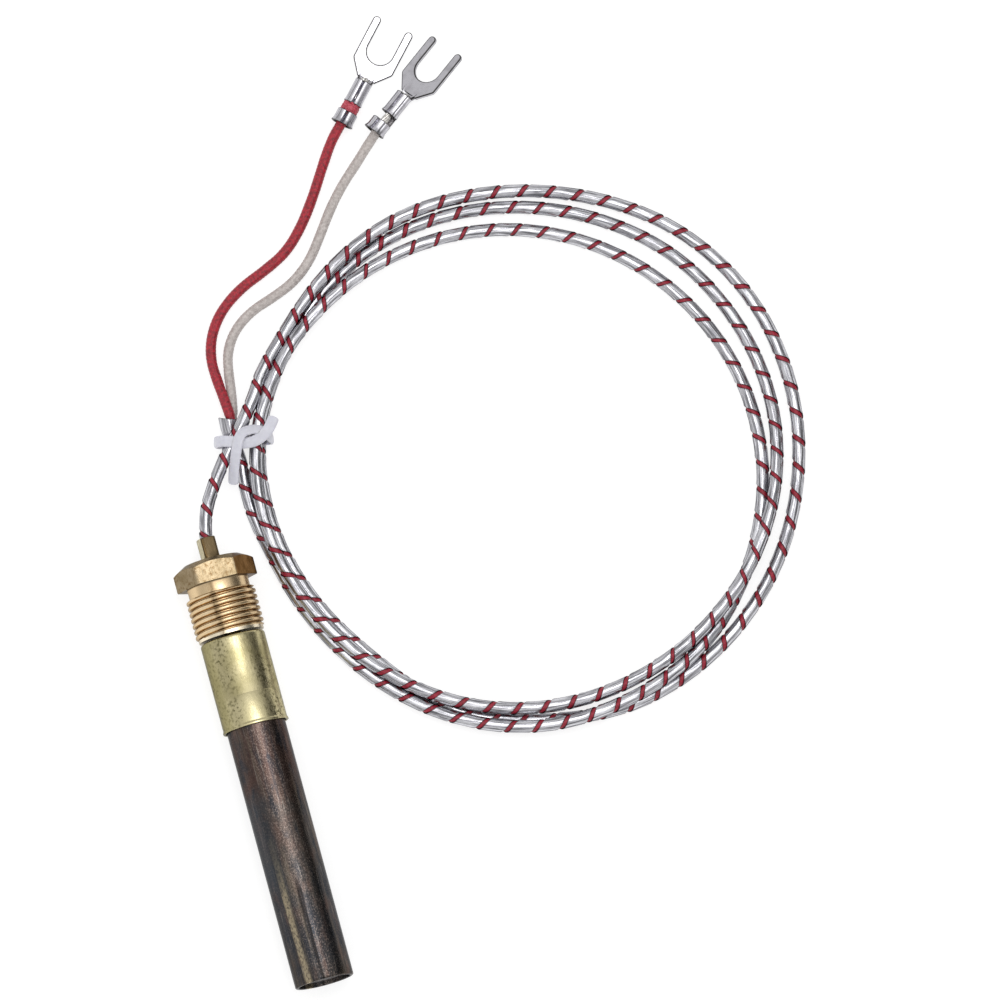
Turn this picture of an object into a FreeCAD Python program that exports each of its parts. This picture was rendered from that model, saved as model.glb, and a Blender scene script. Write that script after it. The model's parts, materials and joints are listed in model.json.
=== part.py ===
import FreeCAD, Part
import math
import os

# Thermopile generator probe with a coiled armoured lead, in millimetres.
#
# The probe lies along Y on one flat of its nut: hot tip towards -Y, lead
# towards +Y, floor at Z = 0.  The origin is on the floor under the middle of
# the probe.  Places along the probe are distances from the hot tip.

V = FreeCAD.Vector
UP = V(0, 0, 1)
ALONG = V(0, 1, 0)

# Probe lengths, from the hot tip to the end of the bushing.
TUBE_EXPOSED = 44.2
SLEEVE_LENGTH = 15.5
NUT_GAP = 0.3
THREAD_LENGTH = 7.0
NECK_LENGTH = 2.1
HEX_LENGTH = 4.0
CRIMP_LENGTH = 3.9

# Probe diameters and the nut's width across its flats.
TUBE_RADIUS = 5.0
TUBE_WALL = 0.6
TIP_LIP = 0.35
SLEEVE_RADIUS = 5.5
SLEEVE_WALL = 0.4
SLEEVE_TOP_WALL = 1.5
SLEEVE_SHOULDER = 0.9
SLEEVE_MOUTH_DEPTH = 5.0
THREAD_RADIUS = 5.9
THREAD_PITCH = 1.0
THREAD_DEPTH = 0.6
NECK_RADIUS = 5.2
HEX_FLATS = 12.0
HEX_FACE_RADIUS = 4.85
HEX_CHAMFER = 30.0
STEM_RADIUS = 1.72
NUT_CLEARANCE = 0.08
CRIMP_SIDE = 2.6
CRIMP_CORNER = 0.5
CRIMP_TURN = 30.0
BUSH_BORE = 1.15
BORE_FLARE = 1.4

# Thermopile inside the sheath.
COUPLES = 20
ELEMENT_RADIUS = 0.25
POSITIVE_RING = 3.45
NEGATIVE_RING = 2.45
CORE_RADIUS = 2.1
MICA_INNER = 3.85
MICA_OUTER = 4.25
FILL_RADIUS = 4.3

# Lead, wires and terminals.
LEAD_RADIUS = 1.1
RED_RADIUS = 0.9
WHITE_RADIUS = 0.85
STRAND_RADIUS = 0.8
TERMINAL_PLATE = 0.8
TERMINAL_WALL = 0.5
CLEARANCE = 0.1

PROBE_LENGTH = (TUBE_EXPOSED + SLEEVE_LENGTH + NUT_GAP + THREAD_LENGTH
                + NECK_LENGTH + HEX_LENGTH + CRIMP_LENGTH)
SLEEVE_TOP = TUBE_EXPOSED + SLEEVE_LENGTH
NUT_START = SLEEVE_TOP + NUT_GAP
NECK_START = NUT_START + THREAD_LENGTH
HEX_START = NECK_START + NECK_LENGTH
HEX_END = HEX_START + HEX_LENGTH
AXIS_HEIGHT = HEX_FLATS / 2
HEX_CORNER = AXIS_HEIGHT / math.cos(math.radians(30))

# Places inside the probe.
TIP_RECESS = 0.5
END_DISC_THICKNESS = 0.8
END_DISC_CROWN = 0.12
HOT_DISC = (1.5, 2.2)
ELEMENT_START = 3.1
BRIDGE = 0.5
ELEMENT_END = 46.5
HEADER = (47.4, 48.6)
JOINT = (49.0, 52.4)
JOINT_OUTER = 0.55
JOINT_INNER = 0.46
INNER_WIRE_RADIUS = 0.45
TUBE_END = 56.4
CEMENT_END = 56.2
FLANGE = (56.6, SLEEVE_TOP - SLEEVE_TOP_WALL)
FLANGE_RADIUS = 4.9

# Uncoiled stretches of the lead and the two wires: corners of each route.
LEAD_RUN = [
    (0.0, 37.5, 6.0),
    (0.5, 40.6, 6.0),
    (1.65, 43.7, 5.7),
    (3.55, 46.75, 5.2),
    (5.95, 50.05, 4.6),
    (8.7, 53.3, 4.2),
    (11.6, 56.6, 4.2),
    (14.4, 60.4, 4.0),
    (16.75, 64.3, 3.3),
]
LEAD_TAIL = [
    (9.1, 38.0, 1.1),
    (8.65, 44.4, 1.25),
    (9.3, 50.6, 1.6),
    (8.5, 54.9, 1.6),
    (8.8, 57.6, 1.5),
]
RED_ROUTE = [
    (9.5, 56.6, 2.0),
    (9.25, 60.2, 1.7),
    (8.9, 64.0, 1.1),
    (8.7, 68.0, 0.9),
    (9.9, 72.0, 0.9),
    (12.6, 75.6, 0.9),
    (16.7, 78.4, 0.9),
    (21.3, 80.2, 0.9),
    (25.6, 82.3, 0.9),
    (29.2, 85.9, 0.9),
    (32.4, 90.3, 0.9),
    (35.2, 94.8, 0.9),
    (37.7, 98.5, 1.1),
    (39.9, 100.7, 1.4),
    (41.8, 102.7, 1.4),
]
WHITE_ROUTE = [
    (9.7, 57.0, 1.0),
    (10.6, 61.0, 0.85),
    (11.0, 64.9, 0.85),
    (11.8, 68.7, 0.85),
    (14.0, 71.9, 0.85),
    (17.4, 74.2, 0.85),
    (21.5, 75.5, 0.85),
    (25.5, 77.1, 0.85),
    (29.0, 79.9, 0.85),
    (31.8, 83.6, 0.85),
    (34.5, 87.4, 0.85),
    (37.5, 90.8, 0.85),
    (41.0, 93.9, 1.2),
    (43.9, 96.6, 2.1),
    (46.8, 99.0, 2.7),
]

# Coil of the lead: outer shape of its three turns, tied at one side.
COIL_OUTER = (54.6, 38.6, 47.2)
COIL_INNER = (52.8, 37.4, 39.4)
COIL_HEIGHT = 4.6
COIL_EDGE = 1.0

# Fork terminals: neck position, heading from +X and roll about their length.
RED_FORK_NECK = (45.4, 106.5)
RED_FORK_HEADING = 47.5
WHITE_FORK_NECK = (51.3, 102.4)
WHITE_FORK_HEADING = 36.5
WHITE_FORK_ROLL = -24.0
FORK_LENGTH = 11.2
FORK_HALF_WIDTH = 3.65
FORK_GAP = 4.6
FORK_GAP_DEPTH = 5.1
FORK_NECK_HALF = 1.6
NECK = (-0.5, 0.4)
SHOULDER = 3.3
BARREL = (-4.0, 0.2)
BARREL_RADIUS = 1.35
GRIP = (-7.9, -5.6)
GRIP_RADIUS = 1.8
SEAM = 0.16
BASE_STRIP = (-6.1, -3.5)
BASE_STRIP_WIDTH = 2.0
STRANDS = (-5.3, -0.4)

# Strap knotted round the coil: middle, heading of the band and its section.
TIE_MIDDLE = (10.9, 53.8)
TIE_HEADING = -13.0
TIE_SPAN = (-4.6, 4.2)
TIE_HEIGHT = 5.9
TIE_ROUNDING = 1.4
TIE_SIDE = 1.0
TIE_FLOOR = 0.6
STRAP_WIDTH = 1.8
STRAP_THICKNESS = 0.7
STRAP_TOP = TIE_HEIGHT - STRAP_THICKNESS / 2
LONG_END = ((10.3, 54.6, STRAP_TOP), (6.9, 46.4, 4.0))
SHORT_END = ((13.6, 53.0, STRAP_TOP), (16.5, 55.3, 5.2))


def at(distance):
    """Y of a place on the probe, from its distance to the hot tip."""
    return distance - PROBE_LENGTH / 2


def rod(radius, start, end, x=0.0, z=0.0):
    """Round rod along the probe, from one distance to another."""
    base = V(x, at(start), AXIS_HEIGHT + z)
    return Part.makeCylinder(radius, end - start, base, ALONG)


def ring(outer, inner, start, end):
    """Round tube along the probe."""
    return rod(outer, start, end).cut(rod(inner, start - 1, end + 1))


def turned(profile):
    """Solid of revolution about the probe's axis from (distance, radius)."""
    points = [V(radius, at(distance), AXIS_HEIGHT) for distance, radius in profile]
    face = Part.Face(Part.makePolygon(points + [points[0]]))
    return face.revolve(V(0, 0, AXIS_HEIGHT), ALONG, 360)


def ring_place(radius, angle):
    """X and Z offset of a place on a circle about the probe's axis."""
    turn = math.radians(angle)
    return radius * math.cos(turn), radius * math.sin(turn)


# --- sheath, sleeve and bushing ---------------------------------------------

def sheath_tube():
    inner = TUBE_RADIUS - TUBE_WALL
    middle = TUBE_RADIUS - TUBE_WALL / 2
    tube = ring(TUBE_RADIUS, inner, 0, TUBE_END)
    tip = [edge for edge in tube.Edges
           if abs(edge.CenterOfMass.y - at(0)) < 1e-6
           and edge.Length > 2 * math.pi * middle]
    return tube.makeFillet(TIP_LIP, tip)


def sheath_end_disc():
    radius = TUBE_RADIUS - TUBE_WALL
    start = TIP_RECESS
    end = TIP_RECESS + END_DISC_THICKNESS
    return turned([
        (start, 0), (start + END_DISC_CROWN, radius * 0.6),
        (start + 2 * END_DISC_CROWN, radius), (end, radius), (end, 0),
    ])


def mounting_sleeve():
    outer = rod(SLEEVE_RADIUS, TUBE_EXPOSED, SLEEVE_TOP)
    shoulder = [edge for edge in outer.Edges
                if abs(edge.CenterOfMass.y - at(SLEEVE_TOP)) < 1e-6]
    outer = outer.makeFillet(SLEEVE_SHOULDER, shoulder)
    seat_start = TUBE_EXPOSED + SLEEVE_MOUTH_DEPTH
    mouth = rod(SLEEVE_RADIUS - SLEEVE_WALL, TUBE_EXPOSED - 1, seat_start)
    seat = rod(TUBE_RADIUS, seat_start - 1, FLANGE[1])
    hole = rod(STEM_RADIUS, FLANGE[1] - 1, SLEEVE_TOP + 1)
    return outer.cut(mouth.fuse(seat).fuse(hole))


def stem_bushing():
    flange = rod(FLANGE_RADIUS, FLANGE[0], FLANGE[1])
    stem = rod(STEM_RADIUS, FLANGE[1] - 0.5, HEX_END + 0.4)
    half = CRIMP_SIDE / 2
    crimp = Part.makeBox(CRIMP_SIDE, CRIMP_LENGTH, CRIMP_SIDE,
                         V(-half, at(HEX_END), AXIS_HEIGHT - half))
    corners = [edge for edge in crimp.Edges
               if abs(edge.tangentAt(edge.FirstParameter).y) > 0.99]
    crimp = crimp.makeFillet(CRIMP_CORNER, corners)
    crimp.rotate(V(0, 0, AXIS_HEIGHT), ALONG, CRIMP_TURN)
    bore = rod(BUSH_BORE, FLANGE[0] - 1, PROBE_LENGTH + 1)
    flare = Part.makeCone(BUSH_BORE + BORE_FLARE, BUSH_BORE, BORE_FLARE,
                          V(0, at(FLANGE[0]), AXIS_HEIGHT), ALONG)
    body = flange.fuse(stem).fuse(crimp)
    return body.cut(bore).cut(flare).removeSplitter()


# --- attaching nut ------------------------------------------------------------

def hexagon_head():
    corners = []
    for step in range(7):
        x, z = ring_place(HEX_CORNER, 60 * step)
        corners.append(V(x, at(HEX_START), AXIS_HEIGHT + z))
    prism = Part.Face(Part.makePolygon(corners)).extrude(ALONG * HEX_LENGTH)
    outside = HEX_CORNER + 0.5
    chamfer = (outside - HEX_FACE_RADIUS) * math.tan(math.radians(HEX_CHAMFER))
    cone = turned([
        (HEX_START, 0), (HEX_START, outside), (HEX_END - chamfer, outside),
        (HEX_END, HEX_FACE_RADIUS), (HEX_END, 0),
    ])
    return prism.common(cone)


def threaded_shank():
    root = THREAD_RADIUS - THREAD_DEPTH
    crest = THREAD_PITCH / 8
    profile = [(HEX_START, 0), (HEX_START, NECK_RADIUS), (NECK_START, NECK_RADIUS)]
    ridges = int(THREAD_LENGTH / THREAD_PITCH)
    for ridge in range(ridges):
        middle = NECK_START - (ridge + 0.5) * THREAD_PITCH
        profile.append((middle + 3.5 * crest, root))
        profile.append((middle + crest / 2, THREAD_RADIUS))
        profile.append((middle - crest / 2, THREAD_RADIUS))
        profile.append((middle - 3.5 * crest, root))
    profile.append((NUT_START, root - 0.1))
    profile.append((NUT_START, 0))
    return turned(profile)


def attaching_nut():
    bore = rod(STEM_RADIUS + NUT_CLEARANCE, NUT_START - 1, HEX_END + 1)
    return hexagon_head().fuse(threaded_shank()).cut(bore).removeSplitter()


# --- thermopile inside the sheath -----------------------------------------------

def couple_angle(index):
    return 360.0 * index / COUPLES


def positive_elements():
    """Outer wires; the first runs on into the red lead's joint sleeve."""
    rods = []
    for index in range(COUPLES):
        x, z = ring_place(POSITIVE_RING, couple_angle(index))
        end = JOINT[0] + 1.2 if index == 0 else ELEMENT_END
        rods.append(rod(ELEMENT_RADIUS, ELEMENT_START, end, x, z))
    return Part.makeCompound(rods)


def negative_elements():
    """Inner wires; the last runs on into the white lead's joint sleeve."""
    rods = []
    for index in range(COUPLES):
        x, z = ring_place(NEGATIVE_RING, couple_angle(index))
        end = JOINT[0] + 1.2 if index == COUPLES - 1 else ELEMENT_END
        rods.append(rod(ELEMENT_RADIUS, ELEMENT_START, end, x, z))
    return Part.makeCompound(rods)


def bridge(start_place, end_place, start):
    """Flat welded bridge between two element ends."""
    dx = end_place[0] - start_place[0]
    dz = end_place[1] - start_place[1]
    length = math.hypot(dx, dz) + 2 * ELEMENT_RADIUS
    half = ELEMENT_RADIUS * 0.9
    bar = Part.makeBox(length, BRIDGE, 2 * half, V(-ELEMENT_RADIUS, 0, -half))
    bar.rotate(V(0, 0, 0), ALONG, -math.degrees(math.atan2(dz, dx)))
    bar.translate(V(start_place[0], at(start), AXIS_HEIGHT + start_place[1]))
    return bar


def hot_junctions():
    bars = []
    for index in range(COUPLES):
        inner = ring_place(NEGATIVE_RING, couple_angle(index))
        outer = ring_place(POSITIVE_RING, couple_angle(index))
        bars.append(bridge(inner, outer, ELEMENT_START - BRIDGE))
    return Part.makeCompound(bars)


def cold_junctions():
    bars = []
    for index in range(COUPLES - 1):
        inner = ring_place(NEGATIVE_RING, couple_angle(index))
        outer = ring_place(POSITIVE_RING, couple_angle(index + 1))
        bars.append(bridge(inner, outer, ELEMENT_END))
    return Part.makeCompound(bars)


def header_disc():
    disc = rod(FILL_RADIUS, HEADER[0], HEADER[1])
    for radius, index in ((POSITIVE_RING, 0), (NEGATIVE_RING, COUPLES - 1)):
        x, z = ring_place(radius, couple_angle(index))
        disc = disc.cut(rod(ELEMENT_RADIUS + 0.05, HEADER[0] - 1, HEADER[1] + 1, x, z))
    return disc


def joint_sleeve(radius, index):
    x, z = ring_place(radius, couple_angle(index))
    outer = rod(JOINT_OUTER, JOINT[0], JOINT[1], x, z)
    return outer.cut(rod(JOINT_INNER, JOINT[0] - 1, JOINT[1] + 1, x, z))


def inner_wire_route(radius, index, side):
    """From a joint sleeve, across to the axis and out through the bushing."""
    x, z = ring_place(radius, couple_angle(index))
    offset = side * INNER_WIRE_RADIUS * 1.15
    places = [
        (JOINT[0] + 1.4, x, z),
        (JOINT[1] + 0.4, x, z),
        (54.6, 0.35 * x + 0.65 * offset, 0.3 * z),
        (58.0, offset, 0.0),
        (HEX_END + CRIMP_LENGTH - 1.2, offset, 0.0),
    ]
    return [(px, at(s), AXIS_HEIGHT + pz) for s, px, pz in places]


# --- tubes along rounded routes ---------------------------------------------------

def rounded_route(points, share=0.45):
    """Straight runs joined by tangent arcs; also the arcs' radii."""
    corners = [V(*point) for point in points]
    edges = []
    radii = []
    last = corners[0]
    for before, corner, after in zip(corners, corners[1:], corners[2:]):
        back = (before - corner)
        ahead = (after - corner)
        reach = share * min(back.Length, ahead.Length)
        back.normalize()
        ahead.normalize()
        turn = math.pi - math.acos(max(-1.0, min(1.0, back.dot(ahead))))
        radius = reach / math.tan(turn / 2)
        start = corner + back * reach
        end = corner + ahead * reach
        inward = back + ahead
        inward.normalize()
        centre = corner + inward * (radius / math.cos(turn / 2))
        middle = centre - inward * radius
        edges.append(Part.LineSegment(last, start).toShape())
        edges.append(Part.Arc(start, middle, end).toShape())
        radii.append(radius)
        last = end
    edges.append(Part.LineSegment(last, corners[-1]).toShape())
    return Part.Wire(edges), radii


def tube_along(name, points, radius):
    """Solid round tube, with its radii and its volume printed as a check."""
    path, radii = rounded_route(points)
    direction = V(*points[1]) - V(*points[0])
    circle = Part.Circle(V(*points[0]), direction, radius)
    section = Part.Wire(circle.toShape())
    tube = path.makePipeShell([section], True, False)
    expected = math.pi * radius ** 2 * path.Length
    print(name, "length", round(path.Length, 1),
          "radii", [round(value, 1) for value in radii],
          "volume ratio", round(tube.Volume / expected, 4))
    return tube


# --- lead coil and strap -----------------------------------------------------------

def lead_coil():
    """Outer shape of the three tied turns: an eccentric ring."""
    x, y, radius = COIL_OUTER
    disc = Part.makeCylinder(radius, COIL_HEIGHT, V(x, y, 0), UP)
    x, y, radius = COIL_INNER
    hole = Part.makeCylinder(radius, COIL_HEIGHT + 2, V(x, y, -1), UP)
    coil = disc.cut(hole)
    rims = [edge for edge in coil.Edges
            if edge.CenterOfMass.z > COIL_HEIGHT - 0.01
            and edge.Length > radius]
    return coil.makeFillet(COIL_EDGE, rims)


def flat_bar(start, end, width, thickness):
    """Strap-like bar between two points, its width level."""
    start = V(*start)
    end = V(*end)
    run = end - start
    length = run.Length
    run.normalize()
    side = UP.cross(run)
    side.normalize()
    above = run.cross(side)
    corners = []
    for across, high in ((-1, -1), (1, -1), (1, 1), (-1, 1), (-1, -1)):
        corners.append(start + side * (across * width / 2)
                       + above * (high * thickness / 2))
    return Part.Face(Part.makePolygon(corners)).extrude(run * length)


def tie_strap():
    """Loop round the coil's turns with a long and a short end."""
    low, high = TIE_SPAN
    outer = Part.makeBox(high - low, STRAP_WIDTH, TIE_HEIGHT,
                         V(low, -STRAP_WIDTH / 2, 0))
    inner = Part.makeBox(high - low - 2 * TIE_SIDE, STRAP_WIDTH + 2,
                         TIE_HEIGHT - TIE_FLOOR - STRAP_THICKNESS,
                         V(low + TIE_SIDE, -STRAP_WIDTH / 2 - 1, TIE_FLOOR))
    rims = [edge for edge in outer.Edges
            if abs(edge.tangentAt(edge.FirstParameter).y) > 0.99]
    loop = outer.makeFillet(TIE_ROUNDING, rims).cut(inner)
    loop.rotate(V(0, 0, 0), UP, TIE_HEADING)
    loop.translate(V(TIE_MIDDLE[0], TIE_MIDDLE[1], 0))
    long_end = flat_bar(*LONG_END, STRAP_WIDTH, STRAP_THICKNESS)
    short_end = flat_bar(*SHORT_END, STRAP_WIDTH, STRAP_THICKNESS)
    return loop.fuse(long_end).fuse(short_end).removeSplitter()


# --- fork terminals -----------------------------------------------------------------

def fork_outline():
    """Flat fork, lying in X and Y with its neck at the origin."""
    half_gap = FORK_GAP / 2
    tine = (FORK_HALF_WIDTH - half_gap) / 2
    tip = FORK_LENGTH - tine
    root = FORK_LENGTH - FORK_GAP_DEPTH
    middle = half_gap + tine
    side = FORK_HALF_WIDTH
    neck = FORK_NECK_HALF
    back, front = NECK
    edges = [
        Part.LineSegment(V(back, -neck, 0), V(front, -neck, 0)),
        Part.LineSegment(V(front, -neck, 0), V(SHOULDER, -side, 0)),
        Part.LineSegment(V(SHOULDER, -side, 0), V(tip, -side, 0)),
        Part.Arc(V(tip, -side, 0), V(tip + tine, -middle, 0), V(tip, -half_gap, 0)),
        Part.LineSegment(V(tip, -half_gap, 0), V(root, -half_gap, 0)),
        Part.Arc(V(root, -half_gap, 0), V(root - half_gap, 0, 0), V(root, half_gap, 0)),
        Part.LineSegment(V(root, half_gap, 0), V(tip, half_gap, 0)),
        Part.Arc(V(tip, half_gap, 0), V(tip + tine, middle, 0), V(tip, side, 0)),
        Part.LineSegment(V(tip, side, 0), V(SHOULDER, side, 0)),
        Part.LineSegment(V(SHOULDER, side, 0), V(front, neck, 0)),
        Part.LineSegment(V(front, neck, 0), V(back, neck, 0)),
        Part.LineSegment(V(back, neck, 0), V(back, -neck, 0)),
    ]
    return Part.Wire([edge.toShape() for edge in edges])


def rolled_band(span, radius):
    """Band rolled into a tube over the base strip, with a seam on top."""
    start, end = span
    length = end - start
    centre = V(start, 0, radius)
    outer = Part.makeCylinder(radius, length, centre, V(1, 0, 0))
    inner = Part.makeCylinder(radius - TERMINAL_WALL, length + 2,
                              centre - V(1, 0, 0), V(1, 0, 0))
    slot = Part.makeBox(length + 2, SEAM, radius + 1, V(start - 1, -SEAM / 2, radius))
    return outer.cut(inner).cut(slot)


def fork_terminal():
    plate = Part.Face(fork_outline()).extrude(V(0, 0, TERMINAL_PLATE))
    bore = Part.makeCylinder(BARREL_RADIUS - TERMINAL_WALL, -BARREL[0],
                             V(BARREL[0], 0, BARREL_RADIUS), V(1, 0, 0))
    strip = Part.makeBox(BASE_STRIP[1] - BASE_STRIP[0], BASE_STRIP_WIDTH, TERMINAL_WALL,
                         V(BASE_STRIP[0], -BASE_STRIP_WIDTH / 2, 0))
    grip_bore = Part.makeCylinder(GRIP_RADIUS - TERMINAL_WALL, BARREL[0] - GRIP[0],
                                  V(GRIP[0], 0, GRIP_RADIUS), V(1, 0, 0))
    barrel = rolled_band(BARREL, BARREL_RADIUS)
    grip = rolled_band(GRIP, GRIP_RADIUS)
    body = plate.cut(bore).fuse(barrel).fuse(grip)
    return body.fuse(strip.cut(bore).cut(grip_bore)).removeSplitter()


def strands():
    """Bare wire strands from the insulation into the barrel."""
    return Part.makeCylinder(STRAND_RADIUS, STRANDS[1] - STRANDS[0],
                             V(STRANDS[0], 0, BARREL_RADIUS), V(1, 0, 0))


def laid_down(shape, neck, heading, roll, lift):
    """Roll a terminal about its length, then lay it on the floor."""
    shape = shape.copy()
    shape.rotate(V(0, 0, BARREL_RADIUS), V(1, 0, 0), roll)
    shape.rotate(V(0, 0, 0), UP, heading)
    shape.translate(V(neck[0], neck[1], lift))
    return shape


def roll_lift(roll):
    """Height gained so that a rolled fork's low edge rests on the floor."""
    turn = math.radians(abs(roll))
    low_edge = BARREL_RADIUS * math.cos(turn) + FORK_HALF_WIDTH * math.sin(turn)
    return max(0.0, low_edge - BARREL_RADIUS)


# --- all sub-parts -------------------------------------------------------------------

def build_parts():
    last = COUPLES - 1
    inner = TUBE_RADIUS - TUBE_WALL
    red_inner = tube_along("red_inner_wire", inner_wire_route(POSITIVE_RING, 0, 1),
                           INNER_WIRE_RADIUS)
    white_inner = tube_along("white_inner_wire",
                             inner_wire_route(NEGATIVE_RING, last, -1),
                             INNER_WIRE_RADIUS)
    cement = rod(FILL_RADIUS, HEADER[1] + CLEARANCE, CEMENT_END)
    for radius, index in ((POSITIVE_RING, 0), (NEGATIVE_RING, last)):
        x, z = ring_place(radius, couple_angle(index))
        cement = cement.cut(rod(JOINT_OUTER, HEADER[1], JOINT[1], x, z))
    cement = cement.cut(red_inner).cut(white_inner)
    lift = roll_lift(WHITE_FORK_ROLL)
    return {
        "sheath_tube": sheath_tube(),
        "sheath_end_disc": sheath_end_disc(),
        "mounting_sleeve": mounting_sleeve(),
        "stem_bushing": stem_bushing(),
        "attaching_nut": attaching_nut(),
        "ceramic_core": rod(CORE_RADIUS, ELEMENT_START + 0.3, ELEMENT_END - 0.3),
        "positive_elements": positive_elements(),
        "negative_elements": negative_elements(),
        "hot_junctions": hot_junctions(),
        "cold_junctions": cold_junctions(),
        "mica_wrap": ring(MICA_OUTER, MICA_INNER, HOT_DISC[1] + CLEARANCE,
                          HEADER[0] - CLEARANCE),
        "hot_end_insulator": rod(inner - CLEARANCE, HOT_DISC[0], HOT_DISC[1]),
        "header_disc": header_disc(),
        "red_joint_sleeve": joint_sleeve(POSITIVE_RING, 0),
        "white_joint_sleeve": joint_sleeve(NEGATIVE_RING, last),
        "red_inner_wire": red_inner,
        "white_inner_wire": white_inner,
        "cement_plug": cement,
        "lead_run": tube_along("lead_run", LEAD_RUN, LEAD_RADIUS),
        "lead_coil": lead_coil(),
        "lead_tail": tube_along("lead_tail", LEAD_TAIL, LEAD_RADIUS),
        "red_lead": tube_along("red_lead", RED_ROUTE, RED_RADIUS),
        "white_lead": tube_along("white_lead", WHITE_ROUTE, WHITE_RADIUS),
        "red_fork_terminal": laid_down(fork_terminal(), RED_FORK_NECK,
                                       RED_FORK_HEADING, 0.0, 0.0),
        "white_fork_terminal": laid_down(fork_terminal(), WHITE_FORK_NECK,
                                         WHITE_FORK_HEADING, WHITE_FORK_ROLL, lift),
        "red_strands": laid_down(strands(), RED_FORK_NECK,
                                 RED_FORK_HEADING, 0.0, 0.0),
        "white_strands": laid_down(strands(), WHITE_FORK_NECK,
                                   WHITE_FORK_HEADING, WHITE_FORK_ROLL, lift),
        "tie_strap": tie_strap(),
    }


def main():
    os.makedirs("parts", exist_ok=True)
    for name, shape in build_parts().items():
        shape.exportStep(os.path.join("parts", name + ".step"))
        box = shape.BoundBox
        print(name, "valid", shape.isValid(), "solids", len(shape.Solids),
              "volume", round(shape.Volume, 2),
              "box", [round(value, 2) for value in
                      (box.XMin, box.YMin, box.ZMin, box.XMax, box.YMax, box.ZMax)])


main()
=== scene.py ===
import json
import math

import bmesh
import bpy
import numpy as np
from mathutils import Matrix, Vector


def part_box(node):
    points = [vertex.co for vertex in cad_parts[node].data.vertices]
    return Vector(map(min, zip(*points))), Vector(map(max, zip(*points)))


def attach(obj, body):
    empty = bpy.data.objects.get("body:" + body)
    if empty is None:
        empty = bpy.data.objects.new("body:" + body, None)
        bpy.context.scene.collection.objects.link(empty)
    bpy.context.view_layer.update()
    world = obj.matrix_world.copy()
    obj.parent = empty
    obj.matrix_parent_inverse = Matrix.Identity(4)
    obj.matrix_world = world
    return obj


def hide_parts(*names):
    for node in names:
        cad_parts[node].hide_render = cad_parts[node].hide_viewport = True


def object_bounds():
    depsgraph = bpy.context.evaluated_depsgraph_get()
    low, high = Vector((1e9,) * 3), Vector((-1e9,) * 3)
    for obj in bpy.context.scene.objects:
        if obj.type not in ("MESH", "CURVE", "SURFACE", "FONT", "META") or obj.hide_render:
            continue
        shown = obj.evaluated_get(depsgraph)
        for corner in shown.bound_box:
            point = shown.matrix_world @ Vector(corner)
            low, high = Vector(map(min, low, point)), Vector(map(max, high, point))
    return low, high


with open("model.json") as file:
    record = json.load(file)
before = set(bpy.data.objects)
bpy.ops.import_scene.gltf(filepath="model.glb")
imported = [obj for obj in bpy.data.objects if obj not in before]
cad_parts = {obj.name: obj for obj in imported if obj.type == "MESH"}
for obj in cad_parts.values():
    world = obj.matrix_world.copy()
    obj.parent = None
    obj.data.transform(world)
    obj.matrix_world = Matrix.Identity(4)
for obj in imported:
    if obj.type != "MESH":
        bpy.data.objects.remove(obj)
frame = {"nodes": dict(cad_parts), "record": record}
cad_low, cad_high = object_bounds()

# Looks of a thermopile generator probe with a coiled armoured lead, in metres.
# The probe lies along Y with its hot tip towards -Y, and the floor is at Z = 0.

MM = 0.001
TURN = 2 * math.pi
# Columns of a round grid about the probe, and points for each span of a route.
AROUND = 144
ROUTE_DETAIL = 20

# --- sizes ---

TUBE_LOW, TUBE_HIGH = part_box("sheath_tube")
SLEEVE_LOW, SLEEVE_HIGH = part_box("mounting_sleeve")
NUT_LOW, NUT_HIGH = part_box("attaching_nut")
BUSH_LOW, BUSH_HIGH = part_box("stem_bushing")

AXIS_HEIGHT = (NUT_LOW.z + NUT_HIGH.z) / 2
TUBE_RADIUS = (TUBE_HIGH.x - TUBE_LOW.x) / 2
SLEEVE_RADIUS = (SLEEVE_HIGH.x - SLEEVE_LOW.x) / 2
HEX_HALF = (NUT_HIGH.z - NUT_LOW.z) / 2
FLANGE_RADIUS = (BUSH_HIGH.x - BUSH_LOW.x) / 2

TUBE_WALL = 0.6 * MM
SLEEVE_WALL = 0.4 * MM
SLEEVE_TOP_WALL = 1.5 * MM
SCORED_RING = SLEEVE_LOW.y + 0.34 * (SLEEVE_HIGH.y - SLEEVE_LOW.y)
STEM_RADIUS = 1.72 * MM
BUSH_BORE = 1.15 * MM
CRIMP_LENGTH = 3.9 * MM
CRIMP_HALF = 1.36 * MM
CRIMP_POWER = 7
CRIMP_TURN = math.radians(-17)

NUT_BORE = 1.8 * MM
THREAD_LENGTH = 7.0 * MM
THREAD_RADIUS = 5.9 * MM
THREAD_ROOT = 5.29 * MM
THREAD_PITCH = 1.0 * MM
THREAD_RUN_OUT = 0.45 * MM
NECK_LENGTH = 2.1 * MM
NECK_RADIUS = 5.2 * MM
HEX_FACE_RADIUS = 4.85 * MM
THREAD_END = NUT_LOW.y + THREAD_LENGTH + THREAD_RUN_OUT
HEX_START = NUT_LOW.y + THREAD_LENGTH + NECK_LENGTH
END_RING_RADIUS = 5.55 * MM
END_RING_LENGTH = 0.55 * MM

# The armoured lead, from the bushing through three tied turns to its open mouth.
STRIP_PITCH = 4.5 * MM
STRIP_WIDTH = 3.8 * MM
CORE_RADIUS = 0.93 * MM
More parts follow.
